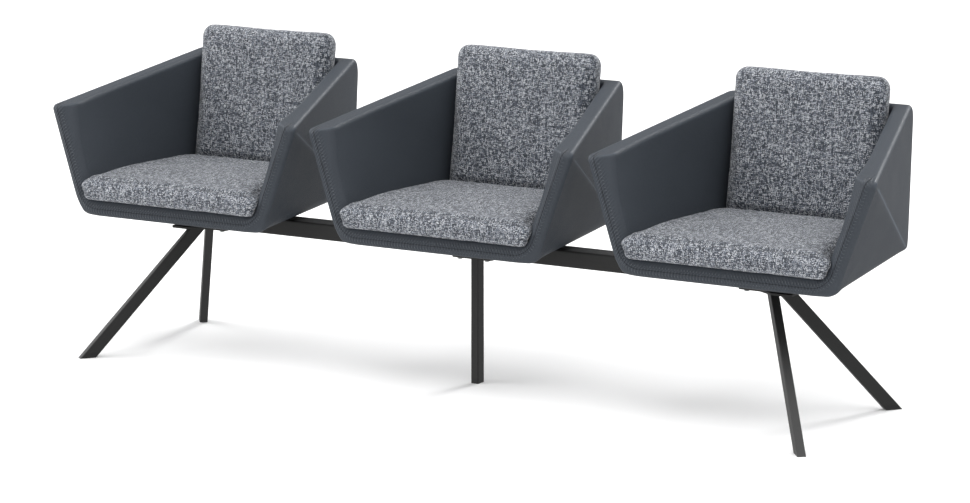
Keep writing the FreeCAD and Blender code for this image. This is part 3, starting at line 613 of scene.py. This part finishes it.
@dataclass(frozen=True)
class SteelFrame:
    """The beam, its plates, legs, glides, caps and bolts, and the brackets and boards of the seats."""

    steel: tuple[str, ...] = ("beam", "leg_plate", "_leg", "bracket")
    plastic: tuple[str, ...] = ("cap", "glide")
    boards: tuple[str, ...] = ("seat_board", "back_board", "arm_board")

    def dress(self, wardrobe: Wardrobe) -> None:
        """Give each kept node its finish."""
        for name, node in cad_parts.items():
            if name.endswith("bolts"):
                finish = wardrobe.zinc
            elif name.endswith(self.boards):
                finish = wardrobe.wood
            elif name.endswith(self.plastic):
                finish = wardrobe.plastic
            elif name.endswith(self.steel):
                finish = wardrobe.steel
            else:
                continue
            node.data.materials.clear()
            node.data.materials.append(finish)
            LOG.info("node %s: %s", name, finish.name)


# Tub: the upholstered shell of a chair

@dataclass
class Tub:
    """One chair's shell, around the middle of the beam. Corners are those of its right-hand side."""

    tip: Triple = (0.360, -0.195, 0.608)
    front: Triple = (0.268, -0.207, 0.343)
    rear_top: Triple = (0.222, 0.325, 0.717)
    rear: Triple = (0.237, 0.273, 0.367)
    wall: float = 0.045
    deck: float = 0.3858
    seam_height: float = 0.364
    outer_bevel: float = 0.010
    arm_bevel: float = 0.018
    lip_bevel: float = 0.012
    room: Triple = (0.1235, 0.1035, 0.3705)
    crown: float = 0.002
    top_edge: float = 0.013
    shoulder: float = 0.052
    heel: float = 0.018
    toe: float = 0.012
    side_edges: tuple[float, ...] = (0.008, 0.010, 0.020, 0.030)
    inner_fold: float = 0.04
    rim_slant: float = 0.7125
    crease_slant: float = 1.17
    step: float = 0.005

    def __post_init__(self) -> None:
        """Work out the planes of the shell."""
        tip, front, rear_top, rear = (np.array(p) for p in (self.tip, self.front, self.rear_top, self.rear))
        across = np.array([1.0, 0.0, 0.0])
        core = (tip + front + rear_top + rear) / 4 * np.array([0.0, 1.0, 1.0])
        self.planes = {
            "face": Plane.through(front, tip, front + across, core),
            "top": Plane.through(tip, rear_top, tip + across, core),
            "rear": Plane.through(rear_top, rear, rear + across, core),
            "base": Plane.through(front, rear, front + across, core),
            "side_front": Plane.through(tip, front, rear, core),
            "side_rear": Plane.through(tip, rear, rear_top, core),
        }
        fold = self.planes["side_rear"].outward - self.planes["side_front"].outward
        self.fold = float(np.linalg.norm(fold))

    @property
    def lean(self) -> float:
        """How far the back leans from upright, as an angle."""
        return math.atan2(self.rear_top[1] - self.rear[1], self.rear_top[2] - self.rear[2])

    def walls(self, places: Array) -> dict[str, Array]:
        """How far points lie outside each plane, with both sides of the chair folded into one."""
        folded = np.array(places, float)
        folded[..., 0] = np.abs(folded[..., 0])
        return {name: plane.reach(folded) for name, plane in self.planes.items()}

    def seam(self, places: Array) -> Array:
        """How far points lie outside the sheet through the seam of the front rim."""
        walls = self.walls(places)
        return round_max(walls["side_front"] + self.wall / 2, self.seam_height - places[..., 2], 0.035)

    def crease(self, places: Array) -> Array:
        """How far points lie behind the crease of the arm."""
        walls = self.walls(places)
        return (walls["side_rear"] - walls["side_front"]) / self.fold

    def outer(self, walls: dict[str, Array], seam: Array) -> Array:
        """Distance to the shell as a full block, with rounded edges and soft faces."""
        slope = self.outer_bevel / (self.wall / 2)
        front = round_max(walls["face"], (walls["face"] + slope * seam) / math.hypot(1.0, slope), 0.003)
        profile = round_max(front, walls["top"], self.top_edge)
        for first, second, radius in ((walls["top"], walls["rear"], self.shoulder),
                                      (walls["rear"], walls["base"], self.heel),
                                      (walls["base"], front, self.toe)):
            profile = np.maximum(profile, round_max(first, second, radius))
        inset = -np.maximum.reduce([front, walls["top"], walls["rear"], walls["base"]])
        fold = (walls["side_rear"] - walls["side_front"]) / self.fold
        crown = self.crown * ramp(inset, 0.0, 0.07) * (1.0 - 0.8 * np.exp(-(fold / 0.02) ** 2))
        side = round_max(walls["side_front"], walls["side_rear"], 0.004) - crown
        near = np.stack([np.exp(np.clip(part / 0.012, -40, 3)) for part in
                         (front, walls["top"], walls["rear"], walls["base"])])
        radii = np.array(self.side_edges).reshape((4,) + (1,) * (near.ndim - 1))
        radius = (near * radii).sum(0) / near.sum(0)
        return round_max(profile, side, radius)

    def hollow(self, walls: dict[str, Array], height: Array) -> Array:
        """Distance to the space between the arms, above the seat and before the back."""
        depth = -walls["face"]
        inner = round_max(walls["side_front"] + self.wall, walls["side_rear"] + self.wall, self.inner_fold)
        arm_slope = walls["side_front"] + self.wall / 2 + depth * (self.wall / 2) / self.arm_bevel
        rise = self.deck - self.seam_height
        lip_slope = self.seam_height - height + depth * rise / self.lip_bevel
        sides = round_min(inner, arm_slope, 0.012)
        floor = round_min(self.deck - height, lip_slope, 0.006)
        inside = round_max(sides, walls["rear"] + self.wall, 0.012)
        corner = 0.004 + 0.031 * (1.0 - ramp(depth, 0.0, 0.03))
        return round_max(inside, floor, corner) / 1.15

    def distance(self, places: Array) -> Array:
        """Distance to the whole shell."""
        walls = self.walls(places)
        height = places[..., 2]
        outer = self.outer(walls, self.seam(places))
        edge = 0.0035 + 0.0075 * ramp(-walls["face"], 0.015, 0.06)
        shell = round_max(outer, -self.hollow(walls, height), edge)
        long, deep, high = self.room
        room = np.maximum.reduce([
            np.abs(places[..., 0]) - long, np.abs(places[..., 1]) - deep, height - high])
        return np.maximum(shell, -room)

    def mesh(self) -> bpy.types.Mesh:
        """Skin the shell and store what its finish reads.

        Returns:
            The mesh of the middle chair's shell.
        """
        step = self.step
        low = np.array([-self.tip[0] - 0.02, self.front[1] - 0.02, self.front[2] - 0.02])
        high = np.array([self.tip[0] + 0.02, self.rear_top[1] + 0.02, self.rear_top[2] + 0.02])
        places, faces = surface_net(self.distance, low, high, step)
        normals = slope_of(self.distance, places)
        normals /= np.maximum(np.linalg.norm(normals, axis=1, keepdims=True), 1e-9)
        mesh = bpy.data.meshes.new("tub")
        mesh.from_pydata(places.tolist(), [], faces.tolist())
        mesh.shade_smooth()
        mesh.normals_split_custom_set_from_vertices(normals.tolist())
        walls = self.walls(places)
        depth = -walls["face"]
        height = places[:, 2] - self.seam_height
        write_attribute(mesh, "rim_across", -self.seam(places))
        write_attribute(mesh, "rim_along", np.abs(places[:, 0]) + self.rim_slant * np.maximum(height, 0.0))
        write_attribute(mesh, "rim_near", 1.0 - ramp(depth, 0.02, 0.034))
        outside = ramp(np.maximum(walls["side_front"], walls["side_rear"]), -0.02, -0.01)
        inset = -np.maximum.reduce([walls[name] for name in ("face", "top", "rear", "base")])
        write_attribute(mesh, "crease_across", self.crease(places))
        write_attribute(mesh, "crease_along", places[:, 1] * self.crease_slant)
        write_attribute(mesh, "crease_near", outside * ramp(inset, 0.012, 0.03))
        # Convexity of the shell: the mask of the painted edge highlight, which also makes the edges a little
        # glossier.
        bend = ((places - neighbour_mean(places, faces)) * normals).sum(1) / step
        write_attribute(mesh, "painted_edge_highlight", ramp(bend, 0.03, 0.22))
        LOG.info("tub: %d faces", len(faces))
        return mesh

    def row(self, sheet: Distance, offset: float, ends: tuple[Triple, ...],
            pitch: float = 0.004) -> tuple[Array, Array]:
        """A line on the shell at a set distance from a seam.

        Args:
            sheet: Distance from the seam.
            offset: The distance that the line keeps.
            ends: Corners of a rough line near it.
            pitch: Spacing of the line's points.

        Returns:
            The points and the shell's outward directions there.
        """
        corners = np.array(ends)
        runs = [np.linspace(a, b, max(2, int(np.linalg.norm(b - a) / pitch)), endpoint=False)
                for a, b in zip(corners[:-1], corners[1:])]
        places = np.concatenate(runs + [corners[-1:]])
        for _ in range(6):
            places = settle(sheet, places, 1, 0.01, offset)
            places = settle(self.distance, places, 2, 0.01)
        facing = slope_of(self.distance, places)
        return places, facing / np.linalg.norm(facing, axis=1, keepdims=True)


@dataclass(frozen=True)
class StitchRow:
    """How a row is sewn: spacing, length, thread, angle to the line and how far stitches turn at random."""

    pitch: float
    length: float
    thickness: float
    turn: float = 0.0
    sway: float = 0.1
    seed: int = 7


RIM_STITCH = StitchRow(0.0078, 0.0055, 0.0011, math.pi / 2)
CREASE_STITCH = StitchRow(0.0055, 0.0036, 0.0009, sway=0.04)


class Stitching:
    """Geometry Nodes that sew a row of stitches along a line that holds its outward directions."""

    def __init__(self) -> None:
        """Build the tree once."""
        graph, given, wanted = new_group(
            "stitch_row", "GeometryNodeTree",
            {"Line": "NodeSocketGeometry", "Pitch": FLOAT, "Length": FLOAT, "Thickness": FLOAT, "Turn": FLOAT,
             "Sway": FLOAT, "Seed": "NodeSocketInt", "Finish": "NodeSocketMaterial"},
            {"Stitches": "NodeSocketGeometry"})
        curve = graph.add("GeometryNodeMeshToCurve", {"Mesh": given["Line"]})
        spaced = graph.add("GeometryNodeResampleCurve", {"Curve": curve.outputs[0], "Length": given["Pitch"]},
                           mode="LENGTH")
        facing = graph.add("GeometryNodeInputNamedAttribute", {"Name": "facing"}, data_type="FLOAT_VECTOR")
        upright = graph.add("FunctionNodeAlignRotationToVector", {"Vector": facing.outputs[0]}, axis="Z")
        tangent = graph.add("GeometryNodeInputTangent")
        course = {"Rotation": upright.outputs[0], "Vector": tangent.outputs[0]}
        along = graph.add("FunctionNodeAlignRotationToVector", course, axis="X", pivot_axis="Z")
        sway = graph.add("FunctionNodeRandomValue", {"Seed": given["Seed"]}, data_type="FLOAT")
        floats = [socket for socket in sway.inputs if socket.type == "VALUE"]
        graph.join(graph.math("MULTIPLY", given["Sway"], -1.0), floats[0])
        graph.join(given["Sway"], floats[1])
        random = next(socket for socket in sway.outputs if socket.type == "VALUE")
        turn = graph.math("ADD", given["Turn"], random)
        spin = graph.add("FunctionNodeAxisAngleToRotation", {"Axis": (0.0, 0.0, 1.0), "Angle": turn})
        turned = graph.add("FunctionNodeRotateRotation", {0: along.outputs[0], 1: spin.outputs[0]},
                           rotation_space="LOCAL")
        bead = graph.add("GeometryNodeMeshUVSphere", {"Segments": 6, "Rings": 4, "Radius": 0.5})
        size = graph.add("ShaderNodeCombineXYZ", {
            0: given["Length"], 1: given["Thickness"], 2: given["Thickness"]})
        sewn = graph.add("GeometryNodeInstanceOnPoints", {
            "Points": spaced.outputs[0], "Instance": bead.outputs[0],
            "Rotation": turned.outputs[0], "Scale": size.outputs[0]})
        real = graph.add("GeometryNodeRealizeInstances", {0: sewn.outputs[0]})
        dressed = graph.add("GeometryNodeSetMaterial", {
            "Geometry": real.outputs[0], "Material": given["Finish"]})
        graph.join(dressed.outputs[0], wanted["Stitches"])
        self.tree = graph.tree

    def sew(self, line: tuple[Array, Array], finish: bpy.types.Material, row: StitchRow) -> bpy.types.Mesh:
        """Sew one row.

        Args:
            line: Points and outward directions.
            finish: Material of the thread.
            row: How the stitches lie.

        Returns:
            The stitches as a plain mesh.
        """
        places, facing = line
        path = bpy.data.meshes.new("row")
        path.from_pydata(places.tolist(), [(i, i + 1) for i in range(len(places) - 1)], [])
        out = path.attributes.new("facing", "FLOAT_VECTOR", "POINT")
        out.data.foreach_set("vector", facing.astype(np.float32).ravel())
        holder = add_object("row", path)
        modifier = holder.modifiers.new("stitches", "NODES")
        modifier.node_group = self.tree
        values = {"Pitch": row.pitch, "Length": row.length, "Thickness": row.thickness, "Turn": row.turn,
                  "Sway": row.sway, "Seed": row.seed, "Finish": finish}
        for item in self.tree.interface.items_tree:
            if item.in_out == "INPUT" and item.name in values:
                modifier[item.identifier] = values[item.name]
        result = baked_mesh(holder)
        bpy.data.objects.remove(holder)
        bpy.data.meshes.remove(path)
        return result


def merged(meshes: list[bpy.types.Mesh]) -> bpy.types.Mesh:
    """Join plain meshes of one finish, and remove them."""
    joined = bmesh.new()
    for mesh in meshes:
        joined.from_mesh(mesh)
    result = meshes[0].copy()
    joined.to_mesh(result)
    joined.free()
    for mesh in meshes:
        bpy.data.meshes.remove(mesh)
    result.shade_smooth()
    return result


# Cushions

@dataclass
class Cushion:
    """A loose cushion: the CAD solid as a sewn cover that is filled and pressed against its neighbours."""

    part: str
    thickness_axis: int
    lean: float
    fill: float
    seam_inset: float
    shrink: float = 0.0035
    travel: float = 0.012
    voxel: float = 0.0055
    pressure: float = 4.0
    frames: int = 20

    def cover(self) -> bpy.types.Object:
        """The CAD solid's shape in even faces, a little smaller, as an object of its own."""
        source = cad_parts[Seat.CENTRE.node(self.part)].data.copy()
        shape = bmesh.new()
        shape.from_mesh(source)
        bmesh.ops.remove_doubles(shape, verts=shape.verts, dist=1e-6)
        shape.to_mesh(source)
        shape.free()
        item = add_object("cover", source)
        remesh = item.modifiers.new("even", "REMESH")
        remesh.mode = "VOXEL"
        remesh.voxel_size = self.voxel
        item.data = baked_mesh(item)
        item.modifiers.clear()
        bpy.data.meshes.remove(source)
        places = places_of(item.data)
        normals = np.array([v.normal[:] for v in item.data.vertices])
        set_places(item.data, places - normals * self.shrink)
        return item

    def fill_cover(self, item: bpy.types.Object) -> None:
        """Blow the cover up against the pull of its cloth, and cap how far it moves."""
        before = places_of(item.data)
        cloth = item.modifiers.new("cloth", "CLOTH")
        settings = cloth.settings
        settings.quality = 5
        settings.mass = 0.3
        settings.tension_stiffness = settings.compression_stiffness = 25.0
        settings.shear_stiffness = 15.0
        settings.bending_stiffness = 2.0
        settings.use_pressure = True
        settings.uniform_pressure_force = self.pressure
        settings.effector_weights.gravity = 0.0
        cloth.point_cache.frame_start = 1
        cloth.point_cache.frame_end = self.frames
        for number in range(1, self.frames + 1):
            bpy.context.scene.frame_set(number)
        after = places_of(baked_mesh(item))
        item.modifiers.clear()
        bpy.context.scene.frame_set(1)
        move = self.to_local(after - before)
        hold = np.full(3, 0.06)
        hold[self.thickness_axis] = 1.0
        move = self.from_local(move * hold)
        far = np.linalg.norm(move, axis=1, keepdims=True)
        set_places(item.data, before + move * np.minimum(1.0, self.travel / np.maximum(far, 1e-9)))

    def smooth(self, item: bpy.types.Object, rounds: int) -> None:
        """Even out the cover's surface."""
        soften = item.modifiers.new("soft", "SMOOTH")
        soften.factor = 0.5
        soften.iterations = rounds
        item.data = baked_mesh(item)
        item.modifiers.clear()

    def to_local(self, places: Array) -> Array:
        """Points turned so that the cushion's thickness lies along an axis."""
        return places @ np.array(Matrix.Rotation(-self.lean, 3, "X")).T

    def from_local(self, places: Array) -> Array:
        """Points turned back from to_local."""
        return places @ np.array(Matrix.Rotation(self.lean, 3, "X")).T

    def sewn(self, places: Array, normals: Array, node_box: tuple[Array, Array]) -> tuple[Array, Array]:
        """Draw the two seams in, which run round the cushion a little way from its faces.

        Args:
            places: Points of the cover.
            normals: Their outward directions.
            node_box: Lowest and highest corner of the cushion after to_local.

        Returns:
            The moved points, and how near each is to a seam from 0 to 1.
        """
        local = self.to_local(places)
        out = self.to_local(normals)
        axis = self.thickness_axis
        low, high = node_box[0][axis], node_box[1][axis]
        flat = np.abs(out[:, axis])
        near = np.zeros(len(places))
        for line in (low + self.seam_inset, high - self.seam_inset):
            away = (local[:, axis] - line) / 0.0030
            near = np.maximum(near, np.exp(-away * away) * (1.0 - ramp(flat, 0.8, 0.97)))
        return places - normals * (near * 0.0011)[:, None], near

    def box_map(self, mesh: bpy.types.Mesh) -> None:
        """Give each face flat cloth coordinates in metres, seen along its main direction."""
        local = self.to_local(places_of(mesh))
        layer = mesh.uv_layers.new(name="UVMap")
        count = len(mesh.loops)
        points = np.empty(count, np.int32)
        mesh.loops.foreach_get("vertex_index", points)
        normals = np.empty(len(mesh.polygons) * 3, np.float32)
        mesh.polygons.foreach_get("normal", normals)
        normals = np.abs(self.to_local(normals.reshape(-1, 3).astype(float)))
        main = np.argmax(normals, axis=1)
        sizes = np.empty(len(mesh.polygons), np.int32)
        mesh.polygons.foreach_get("loop_total", sizes)
        per_loop = np.repeat(main, sizes)
        across = np.where(per_loop == 0, 1, 0)
        down = np.where(per_loop == 2, 1, 2)
        spots = local[points]
        rows = np.arange(count)
        flat = np.stack([spots[rows, across], spots[rows, down]], axis=1).astype(np.float32)
        layer.data.foreach_set("uv", flat.ravel())

    def build(self, keep_out: Callable[[Array], Array],
              shape: Callable[[Array], Array] | None = None) -> bpy.types.Mesh:
        """Make the cushion of the middle chair.

        Args:
            keep_out: Pushes points away from the cushion's neighbours.
            shape: Gives the cushion its last form before that, where its filling doesn't.

        Returns:
            The finished mesh.
        """
        item = self.cover()
        self.fill_cover(item)
        self.smooth(item, 4)
        places = places_of(item.data)
        set_places(item.data, keep_out(shape(places) if shape else places))
        finer = item.modifiers.new("finer", "SUBSURF")
        finer.levels = finer.render_levels = 1
        mesh = baked_mesh(item)
        bpy.data.objects.remove(item)
        places = places_of(mesh)
        normals = np.array([v.normal[:] for v in mesh.vertices])
        local = self.to_local(places)
        places, near = self.sewn(places, normals, (local.min(0), local.max(0)))
        set_places(mesh, keep_out(places))
        write_attribute(mesh, "seam", near)
        self.box_map(mesh)
        mesh.shade_smooth()
        LOG.info("%s: %d faces", self.part, len(mesh.polygons))
        return mesh


@dataclass
class Upholstery:
    """Tubs, cushions and stitches, made once for the middle chair and repeated for the others."""

    tub: Tub
    wardrobe: Wardrobe
    gap: float = 0.0008
    back_thickness: float = 0.0615

    def divide(self, places: Array) -> Array:
        """How far points lie behind the sheet between the seat cushion and the back cushion."""
        return self.tub.planes["rear"].reach(places) + self.tub.wall + self.back_thickness

    def clear_tub(self, places: Array) -> Array:
        """Push points that are too near the shell back to the gap."""
        close = self.tub.distance(places) < self.gap
        if close.any():
            places = places.copy()
            places[close] = settle(self.tub.distance, places[close], 3, 0.006, self.gap)
        return places

    def seat_limits(self, places: Array) -> Array:
        """Keep the seat cushion off the shell, on the board and before the back cushion."""
        places = self.clear_tub(places)
        places[:, 2] = np.maximum(places[:, 2], self.tub.deck + self.gap)
        behind = np.maximum(self.divide(places) + self.gap, 0.0)
        return places - behind[:, None] * self.tub.planes["rear"].outward

    def back_limits(self, places: Array) -> Array:
        """Keep the back cushion off the shell, on the board and behind the seat cushion."""
        places = self.clear_tub(places)
        places[:, 2] = np.maximum(places[:, 2], self.tub.deck + self.gap)
        allowed = 0.03 * ramp(places[:, 2], 0.44, 0.50)
        before = np.maximum(-self.divide(places) + self.gap - allowed, 0.0)
        return places + before[:, None] * self.tub.planes["rear"].outward

    def seat_shape(self, places: Array) -> Array:
        """Let the seat's front edge sink and its front swell over the lip."""
        places = places.copy()
        forward = ramp(-places[:, 1], 0.06, 0.215)
        high = ramp(places[:, 2], 0.40, 0.445)
        places[:, 2] -= 0.011 * forward * high
        middle = 1.0 - (places[:, 0] / 0.26) ** 2
        front = ramp(-places[:, 1], 0.15, 0.20)
        places[:, 1] -= 0.004 * front * np.clip(middle, 0.0, 1.0) * ramp(places[:, 2], 0.385, 0.41)
        return places

    def place(self, mesh: bpy.types.Mesh, seat: Seat, part: str, finish: bpy.types.Material, slot: str,
              nodes: tuple[str, ...] = ()) -> bpy.types.Object:
        """Put a copy of the middle chair's mesh on one chair.

        Args:
            mesh: The mesh to copy.
            seat: The chair.
            part: Name of the piece.
            finish: Its material.
            slot: The record's slot for its finish; not used.
            nodes: Nodes of that chair that it stands for.

        Returns:
            The new object.
        """
        copy = mesh.copy()
        copy.transform(Matrix.Translation((self.shift(seat), 0.0, 0.0)))
        copy.materials.clear()
        copy.materials.append(finish)
        item = add_object(f"{seat.value}_chair_{part}", copy)
        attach(item, "root")
        if nodes:
            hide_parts(*(seat.node(node) for node in nodes))
        LOG.info("piece %s", item.name)
        return item

    def shift(self, seat: Seat) -> float:
        """How far a chair stands along the beam."""
        low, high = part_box(seat.node("bracket"))
        return (low.x + high.x) / 2

    def stitches(self) -> bpy.types.Mesh:
        """The rows of stitches beside the rim's seam and along the creases."""
        tub, sewing, thread = self.tub, Stitching(), self.wardrobe.thread
        x, z = tub.front[0], tub.seam_height
        rows = []
        rim = ((-0.345, -0.197, 0.585), (-x, -0.206, z), (x, -0.206, z), (0.345, -0.197, 0.585))
        for offset in (0.0075, -0.0075):
            rows.append(sewing.sew(tub.row(tub.seam, offset, rim), thread, RIM_STITCH))
        tip, rear = np.array(tub.tip), np.array(tub.rear)
        ends = [tuple(tip + (rear - tip) * share) for share in (0.06, 0.97)]
        for hand in (1.0, -1.0):
            line = tuple((hand * p[0], p[1], p[2]) for p in ends)
            rows.append(sewing.sew(tub.row(tub.crease, 0.003, line), thread, CREASE_STITCH))
        return merged(rows)

    def build(self) -> None:
        """Make and place every soft piece."""
        seat = Cushion("seat_cushion", thickness_axis=2, lean=0.0, fill=0.85, seam_inset=0.016)
        seat_mesh = seat.build(self.seat_limits, self.seat_shape)
        back = Cushion("back_cushion", thickness_axis=1, lean=self.tub.lean, fill=0.8, seam_inset=0.014)
        back_mesh = back.build(self.back_limits)
        tub_mesh = self.tub.mesh()
        stitch_mesh = self.stitches()
        panels = ("base_panel", "back_panel", "left_arm_front_panel", "left_arm_rear_panel",
                  "right_arm_front_panel", "right_arm_rear_panel")
        for chair in Seat:
            self.place(tub_mesh, chair, "tub", self.wardrobe.leather, "shell_leather", panels)
            self.place(stitch_mesh, chair, "stitches", self.wardrobe.thread, "shell_leather")
            for cushion, mesh in ((seat, seat_mesh), (back, back_mesh)):
                piece = self.place(mesh, chair, f"{cushion.part}_cover", self.wardrobe.fabric,
                                   "cushion_fabric", (cushion.part,))
        for mesh in (tub_mesh, stitch_mesh, seat_mesh, back_mesh):
            bpy.data.meshes.remove(mesh)


# Studio

@dataclass(frozen=True)
class Lamp:
    """A broad distant light, given by where it stands as seen from the seating."""

    name: str
    towards: Triple
    strength: float
    spread: float

    def build(self) -> None:
        """Put the light in the scene."""
        data = bpy.data.lights.new(self.name, "SUN")
        data.energy = self.strength
        data.angle = math.radians(self.spread)
        item = bpy.data.objects.new(self.name, data)
        item.location = [5.0 * part for part in self.towards]
        item.rotation_euler = Vector(self.towards).to_track_quat("Z", "Y").to_euler()
        bpy.context.scene.collection.objects.link(item)


@dataclass(frozen=True)
class Studio:
    """The camera at the photograph's viewing angle, a pale floor and soft lights."""

    camera_place: Triple = (4.232413, -7.221614, 1.945207)
    camera_turn: Triple = (math.pi / 2 - 0.192, 0.0, 0.528)
    focal_share: float = 3600.0 / 970.0
    sensor: float = 36.0
    sky: float = 0.45
    floor_size: float = 80.0
    lamps: tuple[Lamp, ...] = (
        Lamp("key", (-0.64, -0.42, 0.64), 1.35, 44.0),
        Lamp("left", (-0.95, 0.1, 0.25), 0.9, 70.0),
        Lamp("front", (-0.25, -0.93, 0.25), 0.45, 50.0),
        Lamp("top", (0.32, -0.05, 0.94), 2.2, 70.0),
        Lamp("rear", (0.12, 0.82, 0.56), 1.4, 16.0),
    )

    def camera(self) -> None:
        """Make the camera."""
        data = bpy.data.cameras.new("camera")
        data.sensor_width = self.sensor
        data.lens = self.sensor * self.focal_share
        data.clip_end = 100.0
        item = bpy.data.objects.new("camera", data)
        item.location = self.camera_place
        item.rotation_euler = self.camera_turn
        bpy.context.scene.collection.objects.link(item)
        bpy.context.scene.camera = item

    def floor(self) -> None:
        """Make the floor, which the object stands on."""
        mesh = bpy.data.meshes.new("floor")
        half = self.floor_size / 2
        corners = [(-half, -half, 0), (half, -half, 0), (half, half, 0), (-half, half, 0)]
        mesh.from_pydata(corners, [], [(0, 1, 2, 3)])
        material = bpy.data.materials.new("pale_floor")
        material.use_nodes = True
        shader = material.node_tree.nodes["Principled BSDF"]
        shader.inputs["Base Color"].default_value = (0.93, 0.93, 0.93, 1.0)
        shader.inputs["Roughness"].default_value = 0.9
        shader.inputs["Specular IOR Level"].default_value = 0.1
        mesh.materials.append(material)
        item = add_object("floor", mesh)
        item.visible_glossy = False

    def light(self) -> None:
        """Add the lamps and the pale surroundings."""
        for lamp in self.lamps:
            lamp.build()
        world = bpy.data.worlds.new("studio")
        world.use_nodes = True
        sky = world.node_tree.nodes["Background"]
        sky.inputs[0].default_value = (1.0, 1.0, 1.0, 1.0)
        sky.inputs[1].default_value = self.sky
        scene = bpy.context.scene
        scene.world = world
        scene.view_settings.view_transform = "Standard"

    def build(self) -> None:
        """Make everything around the object."""
        self.camera()
        self.floor()
        self.light()


def main() -> None:
    """Build the seating's looks in order."""
    logging.basicConfig(level=logging.INFO, format="%(message)s")
    Studio().build()
    wardrobe = Wardrobe()
    Upholstery(Tub(), wardrobe).build()
    SteelFrame().dress(wardrobe)
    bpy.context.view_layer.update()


if __name__ == "__main__":
    main()
